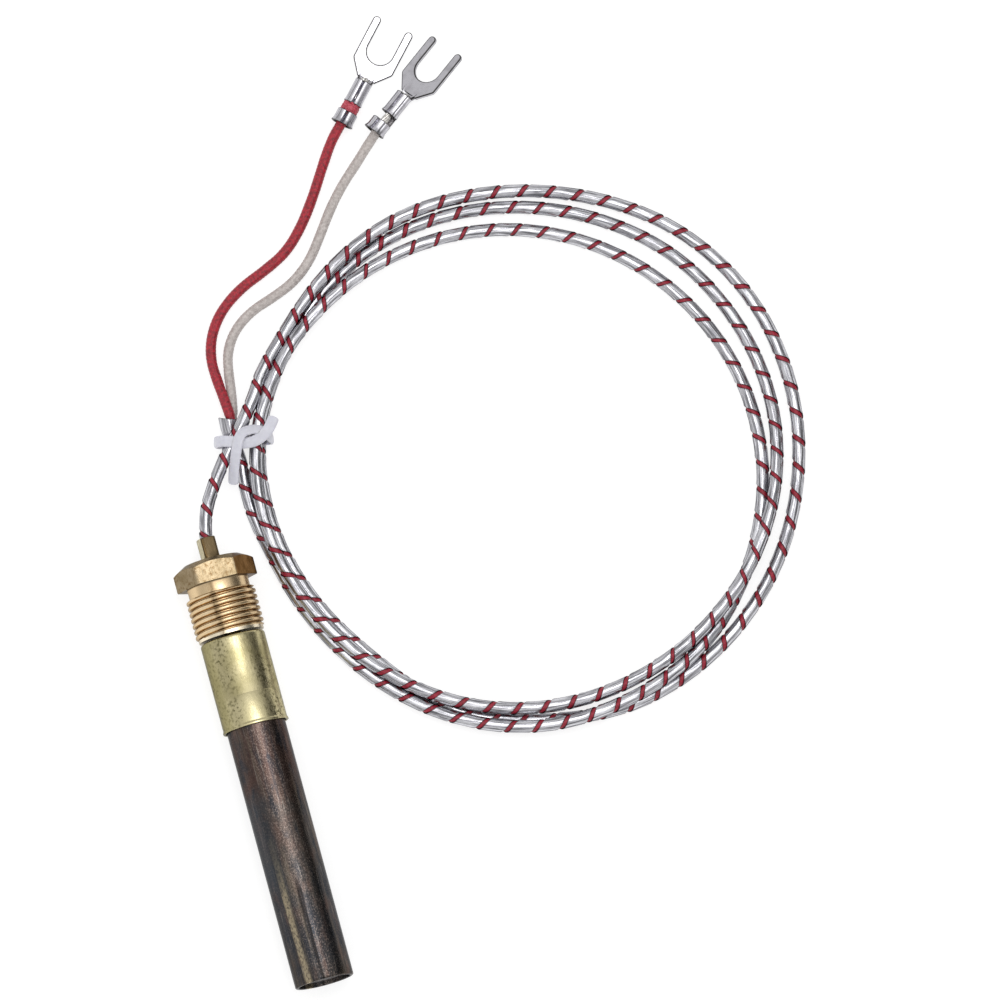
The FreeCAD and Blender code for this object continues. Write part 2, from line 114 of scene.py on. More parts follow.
# How far the strip's turns are pushed along the lead where it was bent, in
# millimetres at a distance from the bushing.
STRIP_DRIFT = [(0, 0.1), (110, 2.0), (200, 5.0), (350, 9.1), (400, 9.0), (465, 8.4), (540, 10.6),
               (590, 10.8), (675, 9.8), (770, 11.2), (840, 12.0)]
MOUTH_LENGTH = 3.1 * MM
LEAD_RUN = [
    (0.0, 0.0375, 0.006), (0.0005, 0.0406, 0.006), (0.00165, 0.0437, 0.0057),
    (0.00355, 0.04675, 0.0052), (0.00595, 0.05005, 0.0046), (0.0087, 0.0533, 0.0042),
    (0.0116, 0.0566, 0.0042), (0.0144, 0.0604, 0.004), (0.01675, 0.0643, 0.0033),
]
LEAD_TAIL = [
    (0.0091, 0.038, 0.0011), (0.00865, 0.0444, 0.00125), (0.0093, 0.0506, 0.0016),
    (0.0085, 0.0549, 0.0016), (0.0088, 0.0576, 0.0015),
]
RED_ROUTE = [
    (0.0095, 0.0566, 0.002), (0.00925, 0.0602, 0.0017), (0.0089, 0.064, 0.0011),
    (0.0087, 0.068, 0.0009), (0.0099, 0.072, 0.0009), (0.0126, 0.0756, 0.0009),
    (0.0167, 0.0784, 0.0009), (0.0213, 0.0802, 0.0009), (0.0256, 0.0823, 0.0009),
    (0.0292, 0.0859, 0.0009), (0.0324, 0.0903, 0.0009), (0.0352, 0.0948, 0.0009),
    (0.0377, 0.0985, 0.0011), (0.0399, 0.1007, 0.0014), (0.0418, 0.1027, 0.0014),
]
WHITE_ROUTE = [
    (0.0097, 0.057, 0.001), (0.0106, 0.061, 0.00085), (0.011, 0.0649, 0.00085),
    (0.0118, 0.0687, 0.00085), (0.014, 0.0719, 0.00085), (0.0174, 0.0742, 0.00085),
    (0.0215, 0.0755, 0.00085), (0.0255, 0.0771, 0.00085), (0.029, 0.0799, 0.00085),
    (0.0318, 0.0836, 0.00085), (0.0345, 0.0874, 0.00085), (0.0375, 0.0908, 0.00085),
    (0.041, 0.0939, 0.0012), (0.0439, 0.0966, 0.0021), (0.0468, 0.099, 0.0027),
]
RED_RADIUS = 0.9 * MM
WHITE_RADIUS = 0.85 * MM

# Each turn of the coil, clockwise in 20 degree steps from 160 degrees: its
# distance from the coil's middle in millimetres, and its centre's height
# where it rises over another turn or over the strap.
COIL_MIDDLE = (0.054, 0.038)
COIL_START = math.radians(160)
COIL_STEP = math.radians(20)
STEPS_PER_TURN = 18
OUTER_TURN = [46.2, 45.3, 45.2, 45.8, 45.6, 46.1, 47.3, 47.5, 47.0,
              46.4, 46.0, 45.5, 44.9, 43.3, 43.2, 40.6, 41.2, 42.5]
MIDDLE_TURN = [43.6, 43.2, 43.6, 43.5, 43.0, 42.9, 43.3, 43.2, 43.2,
               42.8, 42.2, 41.6, 41.3, 41.5, 41.8, 42.0, 42.6, 43.6]
INNER_TURN = [44.1, 43.1, 41.4, 40.2, 39.3, 38.7, 38.5, 38.9, 39.7,
              40.7, 41.9, 43.5, 44.0, 44.8, 44.4, 43.5, 43.4, 45.2]
TURN_HEIGHTS = [
    (2, 2.6), (3, 1.7), (4, 1.1), (17, 1.1), (18, 1.75), (19, 1.1), (26, 1.1),
    (27, 2.3), (28, 3.5), (29, 3.45), (30, 2.8), (31, 2.6), (32, 3.25), (33, 3.4),
    (34, 3.1), (35, 2.9), (36, 3.95), (37, 3.4), (38, 2.8), (39, 1.6), (40, 1.1),
    (46, 1.1), (47, 1.9), (48, 3.4), (49, 3.2), (50, 2.7), (51, 1.8), (52, 1.1),
]

# Fork terminals: neck place, heading from +X and roll about their length in degrees.
RED_FORK = ((0.0454, 0.1065), 47.5, 0.0)
WHITE_FORK = ((0.0513, 0.1024), 36.5, -24.0)
FORK_LENGTH = 11.2 * MM
FORK_GAP_DEPTH = 5.1 * MM
FORK_HALF_WIDTH = 3.65 * MM
FORK_HALF_GAP = 2.3 * MM
FORK_NECK_HALF = 1.6 * MM
FORK_SHOULDER = 3.3 * MM
FORK_PLATE = 0.8 * MM
TERMINAL_WALL = 0.42 * MM
BARREL = (-4.0 * MM, 0.25 * MM)
BARREL_RADIUS = 1.35 * MM
GRIP = (-7.9 * MM, -5.6 * MM)
GRIP_RADIUS = 1.75 * MM


# --- mesh helpers ---

def grid_faces(rows, columns, first=0):
    """Quads between the points of an open grid, row after row."""
    faces = []
    for row in range(rows - 1):
        for column in range(columns - 1):
            low = first + row * columns + column
            high = low + columns
            faces.append((low, low + 1, high + 1, high))
    return faces


def packed(x, y, z):
    """Points from their three coordinates, spread to one shape."""
    return np.stack(np.broadcast_arrays(x, y, z), axis=-1)


def mesh_piece(name, grids, slot, sharp=35.0, finish=None, body="generator", spots=None):
    """One piece from grids of points by rows and columns, with a UV spot for each point."""
    points = []
    faces = []
    places = []
    for index, grid in enumerate(grids):
        rows, columns = grid.shape[:2]
        faces += grid_faces(rows, columns, len(points))
        points += grid.reshape(-1, 3).tolist()
        if spots is None:
            around, along = np.meshgrid(np.linspace(0, 1, columns), np.linspace(0, 1, rows))
        else:
            around, along = np.broadcast_arrays(*spots[index])
        places.append(np.stack([around, along], axis=2).reshape(-1, 2))
    return piece_from_faces(name, points, faces, np.vstack(places), slot, sharp, finish, body)


def piece_from_faces(name, points, faces, places, slot, sharp, finish=None, body="generator"):
    """A closed, smooth-shaded mesh in its slot's finish or its own, riding on a body."""
    mesh = bpy.data.meshes.new(name)
    mesh.from_pydata(points, [], faces)
    corners = np.zeros(len(mesh.loops), np.int32)
    mesh.loops.foreach_get("vertex_index", corners)
    layer = mesh.uv_layers.new(name="UVMap")
    layer.data.foreach_set("uv", places[corners].astype(np.float32).ravel())
    edit = bmesh.new()
    edit.from_mesh(mesh)
    bmesh.ops.remove_doubles(edit, verts=edit.verts, dist=2e-7)
    bmesh.ops.dissolve_degenerate(edit, edges=edit.edges, dist=1e-7)
    bmesh.ops.recalc_face_normals(edit, faces=edit.faces)
    edit.to_mesh(mesh)
    edit.free()
    mesh.shade_smooth()
    mesh.set_sharp_from_angle(angle=math.radians(sharp))
    mesh.materials.append(finish or FINISHES[slot])
    piece = bpy.data.objects.new(name, mesh)
    bpy.context.scene.collection.objects.link(piece)
    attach(piece, body)
    return piece


def softened(outline, steps=4):
    """A closed outline of (along, out, rounding), each corner made a small curve."""
    points = []
    for index, (along, out, rounding) in enumerate(outline):
        corner = np.array((along, out))
        if rounding == 0:
            points.append(corner)
            continue
        before = np.array(outline[index - 1][:2]) - corner
        after = np.array(outline[(index + 1) % len(outline)][:2]) - corner
        start = corner + before / np.linalg.norm(before) * rounding
        end = corner + after / np.linalg.norm(after) * rounding
        for step in range(steps + 1):
            share = step / steps
            points.append((1 - share) ** 2 * start + 2 * share * (1 - share) * corner
                          + share ** 2 * end)
    return np.array(points)


def turned(outline):
    """Grid of a closed outline of (along Y, out) turned about the probe's axis."""
    outline = np.vstack([outline, outline[:1]])
    along, out = outline[:, :1], outline[:, 1:]
    turn = np.linspace(0, TURN, AROUND + 1)
    return packed(out * np.cos(turn), along, AXIS_HEIGHT + out * np.sin(turn))


def round_grid(rows):
    """Closed grid about the probe's axis from rows of (along, out) by angle."""
    turn = np.linspace(0, TURN, AROUND + 1)
    grid = []
    for row in rows:
        along, out = row(turn)
        grid.append(packed(out * np.cos(turn), along, AXIS_HEIGHT + out * np.sin(turn)))
    return np.array(grid + grid[:1])


def ring(along, out):
    """A round row of a grid."""
    return lambda turn: (along, out)


def spline_points(route):
    """Points along the NURBS spline whose control points are the route's points."""
    curve = bpy.data.curves.new("route", "CURVE")
    curve.dimensions = "3D"
    curve.resolution_u = ROUTE_DETAIL
    spline = curve.splines.new("NURBS")
    spline.points.add(len(route) - 1)
    for point, place in zip(spline.points, route):
        point.co = (*place, 1)
    spline.order_u = 3
    spline.use_endpoint_u = True
    carrier = bpy.data.objects.new("route", curve)
    mesh = bpy.data.meshes.new_from_object(carrier)
    points = np.array([vertex.co for vertex in mesh.vertices])
    bpy.data.objects.remove(carrier)
    bpy.data.curves.remove(curve)
    bpy.data.meshes.remove(mesh)
    return points


class Line:
    """A smooth line, with its place and its cross directions at any distance."""

    def __init__(self, points, step=0.4 * MM):
        runs = np.linalg.norm(np.diff(points, axis=0), axis=1)
        along = np.concatenate([[0], np.cumsum(runs)])
        self.length = along[-1]
        self.at = np.linspace(0, self.length, max(8, round(self.length / step)))
        self.points = np.stack([np.interp(self.at, along, points[:, k]) for k in range(3)],
                               axis=1)
        ahead = np.gradient(self.points, axis=0)
        ahead /= np.linalg.norm(ahead, axis=1)[:, None]
        normal = np.array((0.0, 0.0, 1.0))
        normals = []
        for direction in ahead:
            normal = normal - normal.dot(direction) * direction
            normal /= np.linalg.norm(normal)
            normals.append(normal)
        self.normals = np.array(normals)
        self.sides = np.cross(self.normals, ahead)

    def read(self, values, along):
        return np.stack([np.interp(along, self.at, values[:, k]) for k in range(3)], axis=-1)

    def around(self, along, angle, out):
        """Points at those distances along, angles about and distances from the line."""
        along, angle, out = np.broadcast_arrays(along, angle, out)
        return (self.read(self.points, along)
                + self.read(self.normals, along) * (out * np.cos(angle))[..., None]
                + self.read(self.sides, along) * (out * np.sin(angle))[..., None])


# --- shader helpers ---

class Nodes:
    """Short calls that add nodes to a tree."""

    def __init__(self, tree):
        self.tree = tree

    def feed(self, socket, value):
        if isinstance(value, bpy.types.NodeSocket):
            self.tree.links.new(value, socket)
        elif socket.type == "RGBA":
            socket.default_value = (*value, 1.0)
        else:
            socket.default_value = value

    def node(self, kind, inputs, output=0, **settings):
        node = self.tree.nodes.new(kind)
        for key, value in settings.items():
            setattr(node, key, value)
        for key, value in inputs.items():
            self.feed(node.inputs[key], value)
        return node.outputs[output]

    def part(self, name, place):
        """X, Y or Z of a place."""
        return self.node("ShaderNodeSeparateXYZ", {0: place}, "XYZ".index(name))

    def maths(self, operation, first, second=0.0):
        return self.node("ShaderNodeMath", {0: first, 1: second}, operation=operation)

    def times(self, first, second):
        return self.maths("MULTIPLY", first, second)

    def span(self, value, low, high, to_low=0.0, to_high=1.0):
        """Value from low to high brought to between two other limits."""
        return self.node("ShaderNodeMapRange",
                         {"Value": value, "From Min": low, "From Max": high,
                          "To Min": to_low, "To Max": to_high})

    def near(self, value, middle, half):
        """1 at the middle of a band, falling to 0 at half its width away."""
        away = self.maths("ABSOLUTE", self.maths("SUBTRACT", value, middle))
        return self.span(away, 0.0, half, 1.0, 0.0)

    def ramp(self, value, stops):
        """Colour read from (place, colour) stops in rising order."""
        node = self.tree.nodes.new("ShaderNodeValToRGB")
        self.feed(node.inputs[0], value)
        elements = node.color_ramp.elements
        elements[0].position, elements[0].color = stops[0][0], (*stops[0][1], 1)
        elements[1].position, elements[1].color = stops[-1][0], (*stops[-1][1], 1)
        for place, colour in stops[1:-1]:
            elements.new(place).color = (*colour, 1)
        return node.outputs["Color"]

    def mix(self, share, first, second):
        return self.node("ShaderNodeMix", {0: share, 6: first, 7: second}, 2, data_type="RGBA")

    def tint(self, colour, tint, value, low, high, most=1.0):
        """Colour with a tint laid over it as a value goes from low to high."""
        return self.mix(self.span(value, low, high, 0.0, most), colour, tint)


class Finish(Nodes):
    """A material with one Principled surface."""

    def __init__(self, name, **surface):
        self.material = bpy.data.materials.new(name)
        self.material.use_nodes = True
        super().__init__(self.material.node_tree)
        self.surface = self.tree.nodes["Principled BSDF"]
        spots = self.tree.nodes.new("ShaderNodeTexCoord").outputs
        self.place = spots["Object"]
        self.uv = spots["UV"]
        for key, value in surface.items():
            self.set(key.replace("_", " ").title(), value)

    def set(self, name, value):
        self.feed(self.surface.inputs[name], value)

    def across(self, noise, reach):
        """X, pushed to and fro by noise, for marks with uneven edges."""
        return self.maths("ADD", self.axis("X"), self.span(noise, 0.3, 0.7, -reach, reach))

    def noise(self, size, stretch=(1, 1, 1), detail=3.0, place=None):
        """Noise about 0.5, with features of that size, drawn out by stretch."""
        scale = tuple(1 / share for share in stretch)
        spot = self.node("ShaderNodeMapping",
                         {"Vector": place or self.place, "Scale": scale})
        return self.node("ShaderNodeTexNoise",
                         {"Vector": spot, "Scale": 1 / size, "Detail": detail})

    def axis(self, name):
        return self.part(name, self.place)

    def off_axis(self):
        """Distance of the surface from the probe's axis."""
        across = self.axis("X")
        high = self.maths("SUBTRACT", self.axis("Z"), AXIS_HEIGHT)
        squares = self.maths("ADD", self.times(across, across), self.times(high, high))
        return self.maths("SQRT", squares)

    def colour(self):
        """The surface's colour so far."""
        return self.surface.inputs["Base Color"].links[0].from_socket

    def bump(self, height, depth, strength=1.0):
        """Adds a relief of that depth to the surface."""
        inputs = {"Height": height, "Distance": depth, "Strength": strength}
        socket = self.surface.inputs["Normal"]
        if socket.is_linked:
            inputs["Normal"] = socket.links[0].from_socket
        self.set("Normal", self.node("ShaderNodeBump", inputs))


# --- finishes ---

def hot_steel(name, marked):
    """Steel darkened by flame: maroon by the sleeve, then bronze, slate at the tip.

    It has one tan streak and one dark scratch near the tip if marked is 1, neither if 0.
    """
    finish = Finish(name, metallic=1.0, specular_tint=(0.6, 0.6, 0.6))
    clouds = finish.noise(6 * MM, (1, 1.8, 1), 4)
    along = finish.span(finish.axis("Y"), TUBE_LOW.y, SLEEVE_LOW.y)
    along = finish.maths("ADD", along, finish.span(clouds, 0.2, 0.8, -0.3, 0.3))
    stain_and_shade = finish.ramp(along, [
        (0.0, (0.055, 0.047, 0.042)), (0.25, (0.055, 0.055, 0.06)), (0.45, (0.07, 0.063, 0.059)),
        (0.65, (0.088, 0.068, 0.059)), (0.85, (0.082, 0.052, 0.045)), (1.0, (0.07, 0.055, 0.05)),
    ])
    blotches = finish.noise(1.6 * MM, (1, 2.6, 1), 5)
    stain_and_shade = finish.tint(stain_and_shade, (0.125, 0.08, 0.066), blotches, 0.52, 0.66, 0.6)
    stain_and_shade = finish.tint(stain_and_shade, (0.03, 0.036, 0.045), blotches, 0.48, 0.36, 0.75)
    streaks = finish.noise(0.8 * MM, (1, 22, 1), 4)
    stain_and_shade = finish.tint(stain_and_shade, (0.17, 0.14, 0.105), streaks, 0.56, 0.7, 0.5)
    stain_and_shade = finish.tint(stain_and_shade, (0.035, 0.036, 0.042), streaks, 0.46, 0.36, 0.6)
    place = finish.across(streaks, 0.35 * MM)
    scorch = finish.span(finish.near(place, -2.62 * MM, 0.75 * MM), 0.15, 0.7, 0.0, 0.95 * marked)
    scorch = finish.times(scorch, finish.span(along, 0.66, 0.42))
    crumbs = finish.noise(0.28 * MM, (1, 2, 1), 3)
    scorch = finish.times(scorch, finish.span(crumbs, 0.36, 0.56, 0.25, 1.0))
    stain_and_shade = finish.mix(scorch, stain_and_shade, (0.46, 0.385, 0.26))
    scratches = finish.noise(0.22 * MM, (1, 26, 1), 2)
    stain_and_shade = finish.tint(stain_and_shade, (0.26, 0.235, 0.21), scratches, 0.63, 0.72, 0.6)
    scratch = finish.times(finish.span(finish.near(place, -0.2 * MM, 0.4 * MM), 0.1, 0.8),
                           finish.span(along, 0.52, 0.42, 0.0, 0.85 * marked))
    # Painted shade: the colour darkens towards the tube's left edge, from X = -4.1 mm outwards.
    stain_and_shade = finish.tint(stain_and_shade, (0.02, 0.02, 0.02), finish.axis("X"), -4.1 * MM, -4.8 * MM, 0.65)
    slate = finish.times(finish.span(place, -1.3 * MM, -2.1 * MM),
                         finish.span(finish.near(along, 0.55, 0.28), 0.0, 0.6, 0.0, 0.65))
    stain_and_shade = finish.mix(slate, stain_and_shade, (0.048, 0.056, 0.066))
    specks = finish.noise(0.2 * MM, (1, 1.5, 1), 2)
    # Painted glints: the lighter and darker grain specks are kept mostly to a band along the top
    # where the highlight falls, and are faint elsewhere.
    glint_band_share = finish.span(finish.near(place, 0.4 * MM, 2.8 * MM), 0.0, 0.5, 0.3, 1.0)
    light = finish.times(finish.span(specks, 0.53, 0.68, 0.0, 0.7), glint_band_share)
    dark = finish.times(finish.span(specks, 0.47, 0.34, 0.0, 0.6), glint_band_share)
    stain_and_shade = finish.mix(light, stain_and_shade, (0.25, 0.20, 0.175))
    stain_and_shade = finish.mix(dark, stain_and_shade, (0.03, 0.028, 0.028))
    stain_and_shade = finish.mix(scratch, stain_and_shade, (0.012, 0.011, 0.011))
    finish.set("Base Color", stain_and_shade)
    finish.set("Roughness", finish.span(specks, 0.3, 0.7, 0.2, 0.34))
    finish.bump(scratches, 0.012 * MM)
    finish.bump(specks, 0.016 * MM)
    return finish.material


def brass(name, bright, dull, deep, roughness, grain=(1, 1, 1), mottle=3.0, rubbed=0.0):
    """Brass with cloudy tarnish, fine grain, scuffs and dark spots.

    Rubbed is half the width in millimetres of a band along the top that is nearly free of spots, on
    the sleeve, which is also paler at its mouth and darkened on its left flank by painted shade.
    """
    finish = Finish(name, metallic=1.0, specular_tint=(0.5, 0.5, 0.5))
    clouds = finish.noise(mottle * MM, detail=4)
    colour = finish.tint(bright, dull, clouds, 0.35, 0.68)
    spots = finish.noise(0.5 * MM, detail=4)
    worn = finish.noise(1.6 * mottle * MM, detail=2)
    spot_share = finish.times(finish.span(spots, 0.5, 0.62, 0.0, 0.85),
                              finish.span(worn, 0.42, 0.6, 0.25, 1.0))
    if rubbed:
        place = finish.axis("X")
        band = finish.near(place, 0.3 * MM, rubbed * MM)
        spot_share = finish.times(spot_share, finish.span(band, 0.0, 0.6, 1.0, 0.1))
        colour = finish.tint(colour, (0.66, 0.59, 0.36), finish.axis("Y"), SCORED_RING,
                             SCORED_RING - 1.5 * MM, 0.5)
        # Painted shade: the left flank, past X = -3.4 mm, is darkened.
        colour = finish.tint(colour, (0.27, 0.24, 0.115), place, -3.4 * MM, -4.3 * MM, 0.8)
    finish.set("Base Color", finish.mix(spot_share, colour, deep))
    scuffs = finish.noise(0.5 * MM, (0.25, 3.5, 0.25), 2)
    rough = finish.maths("ADD", finish.span(clouds, 0.3, 0.7, -0.05, 0.06),
                         finish.span(scuffs, 0.3, 0.7, roughness - 0.05, roughness + 0.07))
    finish.set("Roughness", rough)
    finish.bump(finish.noise(0.18 * MM, grain, 3), 0.014 * MM)
    finish.bump(scuffs, 0.006 * MM)
    finish.bump(spots, 0.01 * MM)
    return finish


def stem_brass():
    """Dull brass, pale on its left face, with brownish painted shade over the rest and a painted
    dark line by the crimp's left corner.
    """
    finish = brass("dull_brass", (0.74, 0.68, 0.49), (0.56, 0.50, 0.33), (0.20, 0.15, 0.08),
                   0.26, mottle=1.5)
    plain = finish.colour()
    # Painted shade: everything right of X = -0.84 mm takes a mottled brownish tone, leaving only
    # the crimp's left face pale.
    brown_shade = finish.mix(finish.noise(0.9 * MM, (1, 2, 1), 3), (0.12, 0.082, 0.038),
                       (0.25, 0.185, 0.105))
    place = finish.axis("X")
    colour = finish.mix(finish.span(place, -0.98 * MM, -0.84 * MM), plain, brown_shade)
    # Painted shade: a dark line along the crimp's left corner, about X = -0.64 mm.
    corner = finish.near(place, -0.64 * MM, 0.36 * MM)
    colour = finish.tint(colour, (0.05, 0.03, 0.01), corner, 0.0, 0.6, 0.8)
    finish.set("Base Color", colour)
    return finish


def machined_brass():
    """Turned brass: dull hexagon, brighter neck and thread, painted shade in the thread's roots."""
    finish = brass("machined_brass", (0.30, 0.235, 0.148), (0.235, 0.177, 0.10),
                   (0.16, 0.10, 0.045), 0.24, grain=(3, 0.5, 3), mottle=2.0)
    plain = finish.colour()
    turned_share = finish.span(finish.axis("Y"), HEX_START, HEX_START - 0.15 * MM)
    colour = finish.mix(finish.times(turned_share, 0.85), plain, (0.80, 0.60, 0.36))
    on_thread = finish.span(finish.axis("Y"), THREAD_END, THREAD_END - 0.1 * MM)
    # Painted shade: the thread's roots, less than 5.6 mm from the axis, turn dark.
    groove_shade = finish.times(finish.span(finish.off_axis(), 5.33 * MM, 5.6 * MM, 0.55, 0),
                           on_thread)
    clouds = finish.noise(1.2 * MM, (1, 1.5, 1), 3)
    place = finish.across(clouds, 0.4 * MM)
    # Painted highlight: a pale band on the thread's left side, about X = -3.1 mm.
    bright = finish.times(finish.near(place, -3.1 * MM, 1.3 * MM), on_thread)
    colour = finish.mix(bright, colour, (1.0, 0.80, 0.52))
    colour = finish.mix(groove_shade, colour, (0.30, 0.17, 0.06))
    # Painted light: the end ring before the thread is tinted pale cream.
    ring_end = NUT_LOW.y + END_RING_LENGTH
    colour = finish.tint(colour, (1.0, 0.90, 0.70), finish.axis("Y"), ring_end,
                         ring_end - 0.08 * MM, 0.85)
    # Painted shade: a dark lengthwise band down the neck and thread at about X = -1.35 mm.
    shade_stripe = finish.times(finish.near(place, -1.35 * MM, 0.75 * MM), turned_share)
    colour = finish.mix(finish.times(shade_stripe, 0.75), colour, (0.20, 0.13, 0.06))
    # Painted shade: a brownish tone on the right, past X = 3.4 mm, strong on the hexagon's right
    # face and faint on the neck and thread.
    brown_shade_share = finish.times(finish.span(finish.axis("X"), 3.4 * MM, 3.58 * MM),
                               finish.span(turned_share, 0.0, 1.0, 0.95, 0.1))
    brown_shade = finish.tint((0.12, 0.058, 0.018), (0.20, 0.105, 0.04), clouds, 0.4, 0.6)
    finish.set("Base Color", finish.mix(brown_shade_share, colour, brown_shade))
    return finish


def armour_metal():
    """Aluminium strip with lengthwise rolling lines, its two edges darkened with painted shade."""
    finish = Finish("armour_aluminium", metallic=1.0, specular_tint=(0.3, 0.3, 0.3))
    lines = finish.noise(1.0, (1.4, 0.035, 1), 3, finish.uv)
    grains = finish.noise(1.0, (0.35, 0.02, 1), 3, finish.uv)
    colour = finish.ramp(lines, [
        (0.38, (0.17, 0.17, 0.185)), (0.47, (0.44, 0.435, 0.465)), (0.58, (0.72, 0.72, 0.755)),
    ])
    colour = finish.tint(colour, (0.22, 0.22, 0.235), grains, 0.5, 0.68, 0.6)
    # Painted shade: spots near or past the strip's two edges turn nearly black.
    off_middle = finish.maths("SUBTRACT", finish.part("X", finish.uv), 0.5)
    off_middle = finish.maths("ABSOLUTE", off_middle)
    finish.set("Base Color", finish.tint(colour, (0.04, 0.025, 0.027), off_middle, 0.45, 0.5))
    finish.set("Roughness", finish.span(grains, 0.3, 0.7, 0.2, 0.36))
    finish.bump(lines, 0.016 * MM)
    finish.bump(finish.noise(0.2 * MM), 0.02 * MM)
    return finish.material


def braid_cloth(name, light, dark, fuzz, sheen):
    """Glass braid, mottled and a little fuzzy, with dull varnish."""
    finish = Finish(name, roughness=0.5, sheen_weight=sheen, sheen_roughness=0.5)
    mottle = finish.noise(0.45 * MM, detail=4)
    colour = finish.tint(dark, light, mottle, 0.32, 0.68)
    fibres = finish.noise(0.12 * MM, detail=2)
    colour = finish.tint(colour, fuzz, fibres, 0.55, 0.8, 0.6)
    finish.set("Base Color", colour)
    finish.bump(fibres, 0.03 * MM, 0.7)
    return finish.material


def tinned_plate():
    """Bright tin on stamped plate, rubbed in spots, with painted shade along the cut edges and in
    creases on the rolled bands.
    """
    finish = Finish("bright_tin", metallic=1.0, specular_tint=(0.6, 0.6, 0.6))
    patches = finish.noise(1.3 * MM, detail=4)
    colour = finish.tint((0.62, 0.61, 0.65), (0.47, 0.46, 0.49), patches, 0.45, 0.7)
    spots = finish.noise(0.3 * MM)
    colour = finish.tint(colour, (0.35, 0.34, 0.35), spots, 0.64, 0.76, 0.6)
    # Painted shade: spots of the rounded rims, and the rims and insides of the rolled bands, turn
    # nearly black.
    cut = finish.ramp(finish.part("Y", finish.uv), [
        (0.0, (0, 0, 0)), (0.12, (1, 1, 1)), (0.3, (1, 1, 1)), (0.42, (0, 0, 0)),
        (0.58, (0, 0, 0)), (0.7, (1, 1, 1)), (0.9, (1, 1, 1)), (0.97, (0, 0, 0)),
    ])
    colour = finish.mix(cut, colour, (0.05, 0.048, 0.047))
    around = finish.part("X", finish.uv)
    # Painted shade: dark crease lines run along the rolled barrel and grip.
    fold_shade = finish.noise(1.0, (0.035, 3, 1), 3, finish.uv)
    fold_shade = finish.times(finish.span(fold_shade, 0.52, 0.62, 0.0, 0.85),
                         finish.span(around, 0.02, 0.04))
    colour = finish.mix(fold_shade, colour, (0.09, 0.09, 0.09))
    finish.set("Base Color", colour)
    finish.set("Roughness", finish.span(patches, 0.3, 0.7, 0.2, 0.34))
    finish.bump(spots, 0.006 * MM)
    return finish.material


def strap_plastic():
    """Milky plastic that lets some light through."""
    finish = Finish("milky_plastic", roughness=0.42, subsurface_weight=0.5,
                    subsurface_radius=(1.0, 1.0, 1.1), subsurface_scale=0.5 * MM)
    cloud = finish.noise(0.7 * MM)
    finish.set("Base Color", finish.mix(cloud, (0.55, 0.55, 0.61), (0.70, 0.70, 0.76)))
    finish.bump(finish.noise(0.25 * MM, detail=2), 0.02 * MM)
    return finish.material


def speckled(name, light, dark, roughness, size=0.4, metallic=0.0, stretch=(1, 1, 1)):
    """Plain finish with small grains, for the strands, the lining and the hidden pieces."""
    finish = Finish(name, metallic=metallic, roughness=roughness)
    grains = finish.noise(size * MM, stretch, 4)
    finish.set("Base Color", finish.tint(dark, light, grains, 0.3, 0.7))
    finish.bump(grains, 0.02 * MM)
    return finish.material


FINISHES = {
    "hot_steel": hot_steel("heat_stained_steel", 1.0),
    "sleeve_brass": brass("drawn_brass", (0.58, 0.515, 0.31), (0.42, 0.37, 0.195),
                          (0.13, 0.115, 0.05), 0.24, (1, 3, 1), 4.0, 2.4).material,
    "bushing_brass": stem_brass().material,
    "nut_brass": machined_brass().material,
    "armour": armour_metal(),
    "red_braid": braid_cloth("red_glass_braid", (0.46, 0.009, 0.026), (0.13, 0.003, 0.009),
                             (0.58, 0.08, 0.11), 0.06),
    "white_braid": braid_cloth("natural_glass_braid", (0.57, 0.52, 0.495),
                               (0.38, 0.34, 0.32), (0.72, 0.67, 0.64), 0.08),
    "tinned": tinned_plate(),
    "strand_metal": speckled("tinned_strands", (0.85, 0.84, 0.82), (0.45, 0.42, 0.38), 0.3,
                             metallic=1.0),
    "strap_plastic": strap_plastic(),
    "ceramic": speckled("unglazed_ceramic", (0.86, 0.83, 0.76), (0.74, 0.70, 0.62), 0.8),
    "positive_alloy": speckled("nickel_chromium_wire", (0.52, 0.50, 0.47), (0.34, 0.32, 0.30),
                               0.4, metallic=1.0, stretch=(1, 12, 1)),
    "negative_alloy": speckled("copper_nickel_wire", (0.68, 0.58, 0.48), (0.50, 0.40, 0.32),
                               0.38, metallic=1.0, stretch=(1, 12, 1)),
    "weld_metal": speckled("welds", (0.46, 0.44, 0.42), (0.22, 0.20, 0.20), 0.5, 0.2, 1.0),
    "mica": speckled("mica_sheet", (0.80, 0.72, 0.56), (0.60, 0.50, 0.34), 0.35, 1.5),
    "joint_brass": speckled("crimped_brass", (0.80, 0.64, 0.32), (0.55, 0.40, 0.18), 0.35,
                            0.3, 1.0),
    "cement": speckled("cast_cement", (0.74, 0.72, 0.69), (0.56, 0.54, 0.51), 0.9, 0.3),
}
DISC_FINISH = hot_steel("heat_stained_disc", 0.0)
LINING_FINISH = speckled("crimson_lining", (0.40, 0.009, 0.034), (0.15, 0.003, 0.012), 0.55, 0.3)
FRAYED_FINISH = braid_cloth("frayed_glass_braid", (0.60, 0.07, 0.11), (0.34, 0.012, 0.03),
                            (0.85, 0.55, 0.58), 0.1)


# --- armoured lead ---

def coil_points():
    """Points of the three turns; a point stands out a little from the line it makes."""
    radii = OUTER_TURN + MIDDLE_TURN + INNER_TURN
    stand_out = 1 / math.cos(COIL_STEP / 2)
    steps, heights = zip(*TURN_HEIGHTS)
    points = []
    for step in range(2, 3 * STEPS_PER_TURN - 1):
        angle = COIL_START - step * COIL_STEP
        radius = radii[step] * MM * stand_out
        height = float(np.interp(step, steps, heights)) * MM
        points.append((COIL_MIDDLE[0] + radius * math.cos(angle),
                       COIL_MIDDLE[1] + radius * math.sin(angle), height))
    return points


